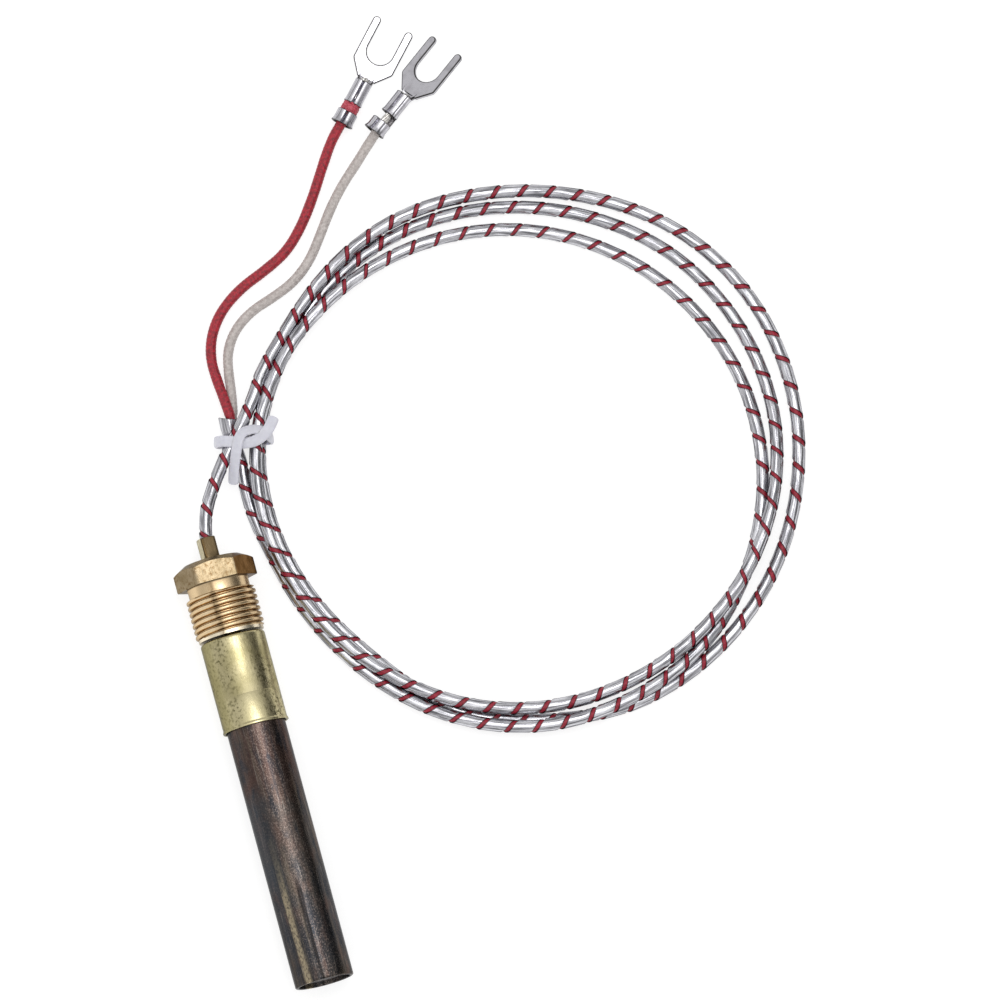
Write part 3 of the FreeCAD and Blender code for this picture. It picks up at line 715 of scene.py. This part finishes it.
def armour_strip(line):
    """The strip wound along the lead, left-handed, with one edge proud."""
    columns_per_turn = 28
    start = 0.7 * MM - STRIP_WIDTH
    end = line.length - MOUTH_LENGTH + 0.5 * MM
    count = int((end - start) / STRIP_PITCH * columns_per_turn) + 2
    turns = np.arange(count) / columns_per_turn
    profile = np.array([
        (0.0, 1.0), (0.0, 1.03), (0.03, 1.08), (0.2, 1.075), (0.5, 1.065), (0.8, 1.08),
        (0.94, 1.125), (0.985, 1.125), (1.0, 1.08), (1.0, 1.0), (0.0, 1.0),
    ])
    chance = np.random.default_rng(7)
    facets = chance.uniform(-0.03, 0.03, count)
    begins = start + STRIP_PITCH * turns
    begins = begins + np.interp(begins, *(MM * np.array(STRIP_DRIFT).T))
    along = np.clip(begins[:, None] + STRIP_WIDTH * profile[:, 0], 0, end)
    out = (profile[:, 1] + facets[:, None]) * MM
    # Spots below 0 and above 1 put the turned-in edges and the underside in the painted edge shade.
    across = profile[:, 0] + np.array([-0.2, -0.1, 0, 0, 0, 0, 0, 0, 0.1, 0.2, -0.2])
    return line.around(along, TURN * turns[:, None], out), (across, turns[:, None])


def armour_mouth(line):
    """The last, wider piece of armour: its open end, cut on a slant, lets two wires out."""
    start = line.length - MOUTH_LENGTH
    tail = line.read(line.points, np.linspace(start, line.length, 16))
    last = Line(np.vstack([tail, 2 * tail[-1] - tail[-3]]), step=0.1 * MM)
    profile = np.array([
        (0.0, 1.0), (0.0, 1.16), (0.12, 1.22), (0.6, 1.3), (1.5, 1.36), (2.95, 1.4),
        (3.4, 1.42), (3.48, 1.39), (3.46, 1.3), (2.7, 1.22), (0.3, 1.0), (0.0, 1.0),
    ])
    columns = 44
    turn = np.linspace(0, TURN, columns + 1)
    chance = np.random.default_rng(9)
    dents = 1 + 0.02 * np.cos(3 * turn + 1) + 0.015 * np.cos(5 * turn)
    facets = chance.uniform(-0.012, 0.012, columns) * MM
    bulge = 0.22 * np.maximum(np.cos(turn + math.radians(60)), 0)
    out = profile[:, 1:] * (dents + bulge * profile[:, :1] / (MOUTH_LENGTH / MM))
    slant = (0.3 + 0.3 * np.cos(turn + math.radians(85))
             + 0.3 * np.maximum(np.cos(turn + math.radians(25)), 0))
    along = profile[:, :1] - slant * np.clip(profile[:, :1] / 1.5 - 1, 0, 1)
    grid = last.around(along * MM, turn, out * MM + np.append(facets, facets[0]))
    # The inner wall's spots of 1.2 put the mouth's inside in the painted edge shade, so it is
    # painted dark.
    across = np.concatenate([np.linspace(-0.15, 0.95, 7), np.full(5, 1.2)])
    return grid, (across[:, None], 1.3 * turn / TURN)


def closed_tube(line, along, out, columns):
    """Tube along a line, drawn in to the line at both ends."""
    along = np.concatenate([along[:1], along, along[-1:]])
    out = np.vstack([0 * out[:1], out, 0 * out[-1:]])
    return line.around(along[:, None], np.linspace(0, TURN, columns + 1), out)


def braided_tube(line, radius):
    """Tube with the relief of a braid: two sets of yarns that cross."""
    step = 0.14 * MM
    yarns = 7
    pick = 0.62 * MM
    relief = 0.035 * MM
    columns = 8 * yarns
    along = np.linspace(0, line.length, int(line.length / step))
    angle = np.linspace(0, TURN, columns + 1)
    phase = TURN * along[:, None] / (2 * pick)
    weave = np.cos(yarns * angle + phase) * np.cos(yarns * angle - phase)
    chance = np.random.default_rng(11)
    swell = np.interp(along, np.linspace(0, line.length, 40), chance.uniform(-1, 1, 40))
    pinch = np.interp(along, [0, 0.8 * MM, 1.5 * MM], [0.78, 0.82, 1.0])
    out = radius - relief + relief * weave + 0.02 * MM * swell[:, None]
    return closed_tube(line, along, out * pinch[:, None], columns)


def make_lead():
    line = Line(spline_points(LEAD_RUN + coil_points() + LEAD_TAIL))
    grids, spots = zip(armour_strip(line), armour_mouth(line))
    armour = mesh_piece("armoured_lead", grids, "armour", 50.0, spots=spots)
    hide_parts("lead_run", "lead_coil", "lead_tail")
    end = line.length - 2.2 * MM
    along = np.linspace(0, end, int(end / (0.7 * MM)))
    core = closed_tube(line, along, np.full((len(along), 1), CORE_RADIUS), 16)
    lining = mesh_piece("armour_lining", [core], "red_braid", finish=LINING_FINISH)
    return line, armour, lining


# --- probe ---

def make_sheath():
    lip = 0.35 * MM
    inner = TUBE_RADIUS - TUBE_WALL
    tube = softened([
        (TUBE_LOW.y, TUBE_RADIUS, lip), (TUBE_HIGH.y, TUBE_RADIUS, 0),
        (TUBE_HIGH.y, inner, 0), (TUBE_LOW.y, inner, 0.15 * MM),
    ])
    piece = mesh_piece("hot_tube", [turned(tube)], "hot_steel")
    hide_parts("sheath_tube")
    low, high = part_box("sheath_end_disc")
    crown = 0.24 * MM
    disc = softened([
        (low.y, 0, 0), (low.y + 0.1 * crown, 0.4 * inner, 0),
        (low.y + 0.5 * crown, 0.8 * inner, 0), (low.y + crown, inner, 0.1 * MM),
        (high.y, inner, 0), (high.y, 0, 0),
    ])
    piece = mesh_piece("hot_tip_disc", [turned(disc)], "hot_steel", finish=DISC_FINISH)
    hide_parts("sheath_end_disc")


def make_sleeve():
    """Drawn sleeve: thin rolled mouth, a faint ring scored round it, round shoulder."""
    seat = SLEEVE_LOW.y + 5.0 * MM
    top_seat = SLEEVE_HIGH.y - SLEEVE_TOP_WALL
    score = 0.035 * MM
    rim = 0.12 * MM
    outline = softened([
        (SLEEVE_LOW.y, SLEEVE_RADIUS + rim, 0.08 * MM),
        (SLEEVE_LOW.y + 0.3 * MM, SLEEVE_RADIUS + rim, 0.08 * MM),
        (SLEEVE_LOW.y + 0.55 * MM, SLEEVE_RADIUS, 0.1 * MM),
        (SCORED_RING - 2 * score, SLEEVE_RADIUS, 0), (SCORED_RING, SLEEVE_RADIUS - score, 0),
        (SCORED_RING + 2 * score, SLEEVE_RADIUS, 0),
        (SLEEVE_HIGH.y, SLEEVE_RADIUS, 0.6 * MM),
        (SLEEVE_HIGH.y, STEM_RADIUS, 0), (top_seat, STEM_RADIUS, 0),
        (top_seat, TUBE_RADIUS, 0), (seat, TUBE_RADIUS, 0),
        (seat, SLEEVE_RADIUS - SLEEVE_WALL, 0),
        (SLEEVE_LOW.y, SLEEVE_RADIUS - SLEEVE_WALL + rim, 0.08 * MM),
    ], 6)
    piece = mesh_piece("brass_sleeve", [turned(outline)], "sleeve_brass")
    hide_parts("mounting_sleeve")


def make_bushing():
    """Inner flange, round stem, and the end squeezed square on the armour."""
    crimp_start = BUSH_HIGH.y - CRIMP_LENGTH
    flange_top = SLEEVE_HIGH.y - SLEEVE_TOP_WALL
    flare = 1.4 * MM

    def squared(along, out, share):
        """A row that goes from round to a rounded square as share goes from 0 to 1."""
        def row(turn):
            across = (np.abs(np.cos(turn - CRIMP_TURN)) ** CRIMP_POWER
                      + np.abs(np.sin(turn - CRIMP_TURN)) ** CRIMP_POWER)
            edge = CRIMP_HALF * across ** (-1 / CRIMP_POWER)
            return along, out * (1 - share) + edge * share
        return row

    rows = [
        ring(BUSH_LOW.y, BUSH_BORE + flare), ring(BUSH_LOW.y, FLANGE_RADIUS),
        ring(flange_top, FLANGE_RADIUS), ring(flange_top, STEM_RADIUS),
        ring(crimp_start - 0.2 * MM, STEM_RADIUS),
        squared(crimp_start + 0.35 * MM, STEM_RADIUS, 0.35),
        squared(crimp_start + 0.9 * MM, STEM_RADIUS, 0.95),
        squared(crimp_start + 1.6 * MM, STEM_RADIUS, 1.0),
        squared(BUSH_HIGH.y - 0.3 * MM, STEM_RADIUS, 1.0),
        squared(BUSH_HIGH.y - 0.08 * MM, STEM_RADIUS - 0.05 * MM, 0.94),
        squared(BUSH_HIGH.y, STEM_RADIUS - 0.3 * MM, 0.75),
        ring(BUSH_HIGH.y, BUSH_BORE + 0.05 * MM), ring(BUSH_HIGH.y - 0.2 * MM, BUSH_BORE),
        ring(BUSH_LOW.y + flare, BUSH_BORE),
    ]
    piece = mesh_piece("brass_bushing", [round_grid(rows)], "bushing_brass")
    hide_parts("stem_bushing")


def make_nut():
    """Hexagon with a chamfered outer face, a turned neck and a helical thread."""
    start = NUT_LOW.y
    end = NUT_HIGH.y
    edge = 0.07 * MM
    corner_limit = HEX_HALF / math.cos(math.radians(30)) - edge
    depth = THREAD_RADIUS - THREAD_ROOT

    def hexagon(turn):
        from_flat = np.mod(turn, TURN / 6) - TURN / 12
        return np.minimum(HEX_HALF / np.cos(from_flat), corner_limit)

    def thread(place, out):
        """A helical row: out at the crest or root, run out at both ends."""
        def row(turn):
            along = np.clip(place - THREAD_PITCH * turn / TURN, start, THREAD_END)
            lead_in = END_RING_RADIUS + np.maximum(along - start - END_RING_LENGTH, 0) * 1.5
            run_out = NECK_RADIUS + (THREAD_END - along) * 3
            floor = np.where(along - start < END_RING_LENGTH, END_RING_RADIUS, 0)
            return along, np.minimum(np.maximum(out, floor), np.minimum(lead_in, run_out))
        return row

    def chamfer(share):
        def row(turn):
            out = hexagon(turn)
            along = end - (out - HEX_FACE_RADIUS) * math.tan(math.radians(30))
            return along * (1 - share) + end * share, out * (1 - share) + HEX_FACE_RADIUS * share
        return row

    rows = [ring(start, NUT_BORE + 0.25 * MM), ring(start, END_RING_RADIUS - 0.05 * MM)]
    turns = round(THREAD_LENGTH / THREAD_PITCH) + 2
    crest = [(0.0, 0.0), (0.05, 0.0), (0.17, 0.55), (0.26, 0.86), (0.36, 0.97), (0.5, 1.0),
             (0.64, 0.97), (0.74, 0.86), (0.83, 0.55), (0.95, 0.0)]
    for index in range(turns):
        for share, rise in crest:
            rows.append(thread(start + (index + share) * THREAD_PITCH, THREAD_ROOT + depth * rise))
    rows += [
        ring(THREAD_END, NECK_RADIUS), ring(THREAD_END + 0.2 * MM, NECK_RADIUS),
        ring(HEX_START - 0.25 * MM, NECK_RADIUS), ring(HEX_START, NECK_RADIUS + 0.12 * MM),
        lambda turn: (HEX_START, hexagon(turn) - edge),
        lambda turn: (HEX_START + edge, hexagon(turn)),
        chamfer(0.0), chamfer(0.5), chamfer(1.0),
        ring(end, NUT_BORE + 0.3 * MM), ring(end - 0.3 * MM, NUT_BORE),
        ring(start + 0.25 * MM, NUT_BORE),
    ]
    piece = mesh_piece("brass_nut", [round_grid(rows)], "nut_brass", 28.0, body="nut")
    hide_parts("attaching_nut")


# --- fork terminals ---

def laid(points, fork):
    """Points of a fork's own frame, rolled about its length and laid on the floor."""
    (x, y), heading, roll = fork
    heading, roll = math.radians(heading), math.radians(roll)
    low_edge = BARREL_RADIUS * math.cos(roll) + FORK_HALF_WIDTH * math.sin(abs(roll))
    lift = max(0.0, low_edge - BARREL_RADIUS)
    high = points[..., 2] - BARREL_RADIUS
    across = points[..., 1] * math.cos(roll) - high * math.sin(roll)
    high = points[..., 1] * math.sin(roll) + high * math.cos(roll) + BARREL_RADIUS + lift
    ahead = points[..., 0]
    return packed(x + ahead * math.cos(heading) - across * math.sin(heading),
                  y + ahead * math.sin(heading) + across * math.cos(heading), high)


def arc(middle, radius, start, end, steps):
    """Points of an arc in degrees, as (x, y)."""
    turn = np.radians(np.linspace(start, end, steps + 1))
    return [(middle[0] + radius * math.cos(a), middle[1] + radius * math.sin(a)) for a in turn]


def fork_outline():
    """Flat fork seen from above, with its neck at the origin, counter-clockwise."""
    tine = (FORK_HALF_WIDTH - FORK_HALF_GAP) / 2
    tip = FORK_LENGTH - tine
    root = FORK_LENGTH - FORK_GAP_DEPTH
    middle = FORK_HALF_GAP + tine
    bend = 0.8 * MM
    shoulder = (FORK_SHOULDER + 0.3 * MM, FORK_HALF_WIDTH - bend)
    half = [(0.8 * MM, FORK_NECK_HALF), (1.0 * MM, FORK_NECK_HALF + 0.15 * MM)]
    half += arc(shoulder, bend, 125, 90, 4) + arc((tip, middle), tine, 90, -90, 10)
    mirrored = [(x, -y) for x, y in half]
    return mirrored + arc((root, 0), FORK_HALF_GAP, -90, -270, 24) + half[::-1]


def plate_solid(outline, thickness):
    """Points and faces of a flat plate with a small rounded edge all round."""
    outline = np.array(outline)
    before = outline - np.roll(outline, 1, axis=0)
    after = np.roll(outline, -1, axis=0) - outline
    before /= np.linalg.norm(before, axis=1)[:, None]
    after /= np.linalg.norm(after, axis=1)[:, None]
    outward = np.stack([before[:, 1] + after[:, 1], -before[:, 0] - after[:, 0]], axis=1)
    outward /= np.linalg.norm(outward, axis=1)[:, None]
    edge = 0.16 * MM
    # The spots of the rounded rims fall in the tin finish's painted edge shade.
    levels = [(0.0, edge, 0.0), (0.3 * edge, 0.3 * edge, 0.15), (edge, 0.0, 0.3),
              (thickness - edge, 0.0, 0.7), (thickness - 0.3 * edge, 0.3 * edge, 0.85),
              (thickness, edge, 0.9), (thickness, 1.35 * edge, 1.0)]
    count = len(outline)
    points = []
    spots = []
    for height, inset, spot in levels:
        points += [(x, y, height) for x, y in outline - outward * inset]
        spots += [(0.0, spot)] * count
    faces = [tuple(reversed(range(count))),
             tuple(range((len(levels) - 1) * count, len(levels) * count))]
    for level in range(len(levels) - 1):
        for index in range(count):
            beside = (index + 1) % count
            low, high = level * count, (level + 1) * count
            faces.append((low + index, low + beside, high + beside, high + index))
    return np.array(points), faces, spots


def rolled_band(span, radius, flare, wide):
    """Band rolled round a wire, its two edges curled down into a seam on top."""
    start, end = span
    wall = TERMINAL_WALL
    angle = np.linspace(0, TURN, 72 + 1)
    off_top = np.minimum(angle, TURN - angle)
    seam = 0.45 * np.exp(-(off_top / 0.11) ** 2) + 0.09 * np.exp(-(off_top / 0.45) ** 2)
    seam += 0.06 * np.exp(-((off_top - 0.95) / 0.09) ** 2)
    # Spots of 0.75 inside and 0.85 at the ends fall in the tin finish's painted edge shade.
    profile = [
        (start, -0.1 * MM + flare, 0.85), (start + 0.1 * MM, flare, 0.96),
        (start + 0.5 * MM, 0.25 * flare, 1), (start + 0.8 * MM, 0, 1),
        (end - 0.5 * MM, 0, 1), (end - 0.12 * MM, 0.03 * MM, 0.96),
        (end, -0.08 * MM, 0.85), (end, -wall + 0.06 * MM, 0.75), (end - 0.1 * MM, -wall, 0.75),
        (start + 0.5 * MM, -wall, 0.75), (start + 0.1 * MM, flare - wall, 0.75),
        (start, flare - wall + 0.06 * MM, 0.75), (start, -0.1 * MM + flare, 0.85),
    ]
    rows = []
    spots = []
    for along, extra, spot in profile:
        out = np.maximum(radius * (1 - seam) + extra, 0.25 * MM)
        rows.append(packed(along, wide * out * np.sin(angle), radius + out * np.cos(angle)))
        spots.append([(0.1 + 0.8 * turn / TURN, spot) for turn in angle])
    return np.array(rows), np.array(spots)


def neck_trough():
    """The sheet between the barrel and the flat fork, its sides curling upwards."""
    half = 1.55 * MM
    across = np.linspace(-half, half, 17)
    rows = []
    places = np.linspace(-0.7, 1.9, 12) * MM
    for place in places:
        share = (place - places[0]) / (places[-1] - places[0])
        bend = max(0.9 * (1 - share) ** 1.3, 0.01) / MM
        thick = TERMINAL_WALL + (FORK_PLATE - 0.02 * MM - TERMINAL_WALL) * share
        low = np.stack([np.sin(bend * across) / bend, (1 - np.cos(bend * across)) / bend])
        inward = np.stack([-np.sin(bend * across), np.cos(bend * across)])
        high = low + inward * thick
        rows.append(packed(place, *np.concatenate([low, high[:, ::-1], low[:, :1]], axis=1)))
    caps = [0 * row + row.mean(axis=0) for row in (rows[0], rows[-1])]
    rows = [caps[0]] + rows + [caps[1]]
    # Spots of 0.9 at the rims fall in the tin finish's painted edge shade.
    spots = [(0.0, spot) for spot in [0.5] * 17 + [0.9] + [1.0] * 15 + [0.9, 0.5]]
    return np.array(rows), np.array([spots] * len(rows))


def wire_strands(end):
    """A middle strand and six twisted round it, their far ends a little uneven."""
    start = -5.9 * MM
    radius = 0.78 * MM
    thick = radius * 0.33
    chance = np.random.default_rng(3)
    spots = [(0.0, 0.0)] + [(0.62, a) for a in np.linspace(0, TURN, 6, endpoint=False)]
    angle = np.linspace(0, TURN, 13)
    grids = []
    for share, turn in spots:
        tip = end + chance.uniform(-0.35, 0.35) * MM
        rows = []
        for along, out in ((start, 0), (start, 1), (0.5 * (start + tip), 1), (tip - thick, 1),
                           (tip - 0.3 * thick, 0.7), (tip, 0)):
            twist = turn + 0.5 * (along - start) / MM
            spread = radius * share
            rows.append(packed(along, spread * math.cos(twist) + out * thick * np.cos(angle),
                               BARREL_RADIUS + spread * math.sin(twist)
                               + out * thick * np.sin(angle)))
        grids.append(np.array(rows))
    return grids


def make_fork(name, fork, node, strands_node, strand_end):
    """Stamped fork with barrel and insulation grip, and the strands between them."""
    points, faces, spots = plate_solid(fork_outline(), FORK_PLATE)
    near, far, half = GRIP[1] - 0.4 * MM, BARREL[0] + 0.4 * MM, 1.0 * MM
    strip = [(near, -half), (far, -half), (far, half), (near, half)]
    strip_points, strip_faces, strip_spots = plate_solid(strip, TERMINAL_WALL)
    faces += [tuple(index + len(points) for index in face) for face in strip_faces]
    points = points.tolist() + strip_points.tolist()
    spots += strip_spots
    for band, band_spots in (rolled_band(BARREL, BARREL_RADIUS, 0.12 * MM, 1.1),
                             rolled_band(GRIP, GRIP_RADIUS, 0.22 * MM, 1.0),
                             neck_trough()):
        faces += grid_faces(*band.shape[:2], len(points))
        points += band.reshape(-1, 3).tolist()
        spots += band_spots.reshape(-1, 2).tolist()
    points = laid(np.array(points), fork).tolist()
    terminal = piece_from_faces(name, points, faces, np.array(spots), "tinned", 38.0)
    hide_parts(node)
    grids = [laid(grid, fork) for grid in wire_strands(strand_end)]
    strands = mesh_piece(name + "_strands", grids, "strand_metal")
    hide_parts(strands_node)
    return terminal, strands


def make_frayed_end(fork):
    """Torn red insulation pushed up between the grip and the barrel."""
    chance = np.random.default_rng(5)
    angle = np.linspace(0, TURN, 40 + 1)
    places = np.linspace(-6.2, -3.3, 24) * MM
    rough = chance.uniform(-1, 1, (len(places), len(angle) - 1))
    rough = np.hstack([rough, rough[:, :1]])
    ragged = chance.uniform(0, 1, len(angle) - 1)
    ragged = np.append(ragged, ragged[0]) * 0.9 * MM
    rows = [packed(places[0], 0 * angle, BARREL_RADIUS)]
    for place, bumps in zip(places, rough):
        share = (place - places[0]) / (places[-1] - places[0])
        out = (1.24 - 0.08 * share) * MM + 0.1 * MM * bumps
        along = place - ragged * share ** 3
        rows.append(packed(along, 1.2 * out * np.sin(angle), BARREL_RADIUS + out * np.cos(angle)))
    along, across, high = rows[-1].T
    shrunk = 0.72
    rows += [packed(along, shrunk * across, BARREL_RADIUS + shrunk * (high - BARREL_RADIUS)),
             packed(places[0] + 0.6 * MM, 0 * angle, BARREL_RADIUS)]
    return mesh_piece("frayed_red_braid", [laid(np.array(rows), fork)], "red_braid", 60.0,
                      FRAYED_FINISH)


# --- tie strap ---

STRAP_ROUTE = [
    (0.0163, 0.0553, 0.0062), (0.0155, 0.0541, 0.0064), (0.0143, 0.053, 0.0064),
    (0.0128, 0.0523, 0.006), (0.0113, 0.0522, 0.00575), (0.0099, 0.0525, 0.0057),
    (0.0085, 0.0531, 0.0057), (0.0075, 0.0535, 0.0056), (0.0065, 0.0538, 0.0051),
    (0.006, 0.054, 0.0039), (0.0059, 0.0541, 0.0024), (0.0062, 0.0541, 0.001),
    (0.007, 0.054, 0.0004), (0.0095, 0.0538, 0.0004), (0.0123, 0.0531, 0.0004),
    (0.0143, 0.0527, 0.0005), (0.015, 0.0525, 0.0012), (0.0151, 0.0523, 0.0028),
    (0.0149, 0.0523, 0.0044), (0.0145, 0.0527, 0.0053), (0.0141, 0.0534, 0.0056),
    (0.0133, 0.054, 0.00575), (0.0121, 0.0543, 0.0059), (0.0106, 0.0542, 0.0062),
    (0.0097, 0.0533, 0.00635), (0.009, 0.0519, 0.0062), (0.0083, 0.0503, 0.0057),
    (0.0075, 0.0483, 0.005), (0.0069, 0.0463, 0.0043),
]


STRAP_WIDTH = 1.9 * MM
STRAP_THICKNESS = 0.75 * MM
STRAP_CORNER = 0.5 * MM


def make_tie():
    """One flat strap round the turns, its two rounded ends crossed over each other on top."""
    line = Line(spline_points(STRAP_ROUTE), 0.1 * MM)
    along = np.linspace(0, line.length, int(line.length / (0.3 * MM)))
    ends = np.linspace(0, STRAP_CORNER, 6)[1:]
    along = np.sort(np.concatenate([along, ends, line.length - ends]))
    near_end = np.clip(1 - np.minimum(along, line.length - along) / STRAP_CORNER, 0, 1)
    narrow = STRAP_WIDTH / 2 - STRAP_CORNER * (1 - np.sqrt(1 - near_end ** 2))
    turn = np.linspace(0, TURN, 32 + 1)
    flat = np.sign(np.cos(turn)) * np.abs(np.cos(turn)) ** 0.7 * STRAP_THICKNESS / 2
    wide = np.sign(np.sin(turn)) * np.abs(np.sin(turn)) ** 0.7
    middle = line.read(line.points, along)[:, None, :]
    grid = (middle + line.read(line.normals, along)[:, None, :] * flat[None, :, None]
            + line.read(line.sides, along)[:, None, :] * (wide * narrow[:, None])[..., None])
    cap = np.repeat(middle, len(turn), axis=1)
    grid = np.concatenate([cap[:1], grid, cap[-1:]])
    tie = mesh_piece("tie_strap_knot", [grid], "strap_plastic", 60.0)
    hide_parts("tie_strap")
    return tie


# --- stage ---

VIEW_ELEVATION = math.radians(82)
VIEW_AZIMUTH = math.radians(-15)
VIEW_DISTANCE = 5.0
VIEW_LENS = 1080
VIEW_SHIFT = Vector((0.00183, -0.00635, -0.006))
FLOOR_HALF = 6.0
FLOOR_GLOW = 0.74
SOFTBOX_PLACE = Vector((0.15, 0.17, 1.2))
SOFTBOX_AIM = Vector((0.02, 0.02, 0))
SOFTBOX_SIZE = 0.45
SOFTBOX_POWER = 1.9
# Brightness of the surroundings to the left and to the right, by height from -1 to 1.
LEFT_WALL = [(0.0, 0.85), (0.25, 0.72), (0.5, 0.68), (0.7, 0.74), (0.84, 1.0), (1.0, 1.7)]
RIGHT_WALL = [(0.0, 0.2), (0.08, 0.12), (0.3, 0.1), (0.5, 0.2), (0.68, 0.6), (0.82, 1.1),
              (1.0, 1.7)]


def put(name, data, place, ahead):
    """A camera or a light at a place, looking along a direction."""
    thing = bpy.data.objects.new(name, data)
    thing.location = place
    thing.rotation_mode = "QUATERNION"
    thing.rotation_quaternion = ahead.to_track_quat("-Z", "Y")
    bpy.context.scene.collection.objects.link(thing)
    return thing


def make_camera():
    data = bpy.data.cameras.new("camera")
    data.lens = VIEW_LENS
    data.clip_start = 0.05
    data.clip_end = 20
    back = Vector((math.sin(VIEW_AZIMUTH) * math.cos(VIEW_ELEVATION),
                   -math.cos(VIEW_AZIMUTH) * math.cos(VIEW_ELEVATION),
                   math.sin(VIEW_ELEVATION)))
    place = (cad_low + cad_high) / 2 + VIEW_SHIFT + back * VIEW_DISTANCE
    bpy.context.scene.camera = put("camera", data, place, -back)


def make_floor():
    mesh = bpy.data.meshes.new("floor")
    corners = [(x * FLOOR_HALF, y * FLOOR_HALF, 0) for x, y in ((-1, -1), (1, -1), (1, 1), (-1, 1))]
    mesh.from_pydata(corners, [], [(0, 1, 2, 3)])
    finish = Finish("pale_floor", roughness=0.9, base_color=(0.35, 0.35, 0.35))
    finish.set("Emission Color", (1.0, 1.0, 1.0))
    finish.set("Emission Strength", FLOOR_GLOW)
    mesh.materials.append(finish.material)
    floor = bpy.data.objects.new("floor", mesh)
    bpy.context.scene.collection.objects.link(floor)


def make_world():
    """Soft studio surroundings: a bright ceiling, a pale left side and a dim right side."""
    world = bpy.data.worlds.new("studio")
    bpy.context.scene.world = world
    world.use_nodes = True
    nodes = Nodes(world.node_tree)
    place = nodes.node("ShaderNodeTexCoord", {}, "Generated")
    left, right = (nodes.ramp(nodes.part("Z", place), [(at, 3 * (value,)) for at, value in wall])
                   for wall in (LEFT_WALL, RIGHT_WALL))
    ahead = nodes.maths("ABSOLUTE", nodes.part("Y", place))
    across = nodes.maths("SUBTRACT", nodes.part("X", place), nodes.times(ahead, 0.9))
    background = world.node_tree.nodes["Background"]
    nodes.feed(background.inputs["Color"], nodes.mix(nodes.span(across, -0.1, 0.6), left, right))
    nodes.feed(background.inputs["Strength"], 1.0)


def make_softbox():
    data = bpy.data.lights.new("ceiling_softbox", "AREA")
    data.shape = "SQUARE"
    data.size = SOFTBOX_SIZE
    data.energy = SOFTBOX_POWER
    put("ceiling_softbox", data, SOFTBOX_PLACE, SOFTBOX_AIM - SOFTBOX_PLACE)


# --- the object, piece by piece ---

for entry in frame["record"]["subparts"]:
    shown = frame["nodes"][entry["node"]].data.materials
    shown.clear()
    shown.append(FINISHES[entry["material_slot"]])

lead_line, armour, lining = make_lead()
make_sheath()
make_sleeve()
make_bushing()
make_nut()
tie = make_tie()
red_fork, red_strands = make_fork("red_wire_fork", RED_FORK, "red_fork_terminal",
                                  "red_strands", 0.9 * MM)
white_fork, white_strands = make_fork("white_wire_fork", WHITE_FORK, "white_fork_terminal",
                                      "white_strands", 0.5 * MM)
frayed = make_frayed_end(RED_FORK)
red_line = Line(spline_points(RED_ROUTE))
white_line = Line(spline_points(WHITE_ROUTE))
red_wire = mesh_piece("red_wire", [braided_tube(red_line, RED_RADIUS)], "red_braid", 60.0)
white_wire = mesh_piece("white_wire", [braided_tube(white_line, WHITE_RADIUS)], "white_braid",
                        60.0)
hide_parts("red_lead")
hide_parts("white_lead")

make_floor()
make_world()
make_softbox()
make_camera()
bpy.context.scene.view_settings.view_transform = "Standard"
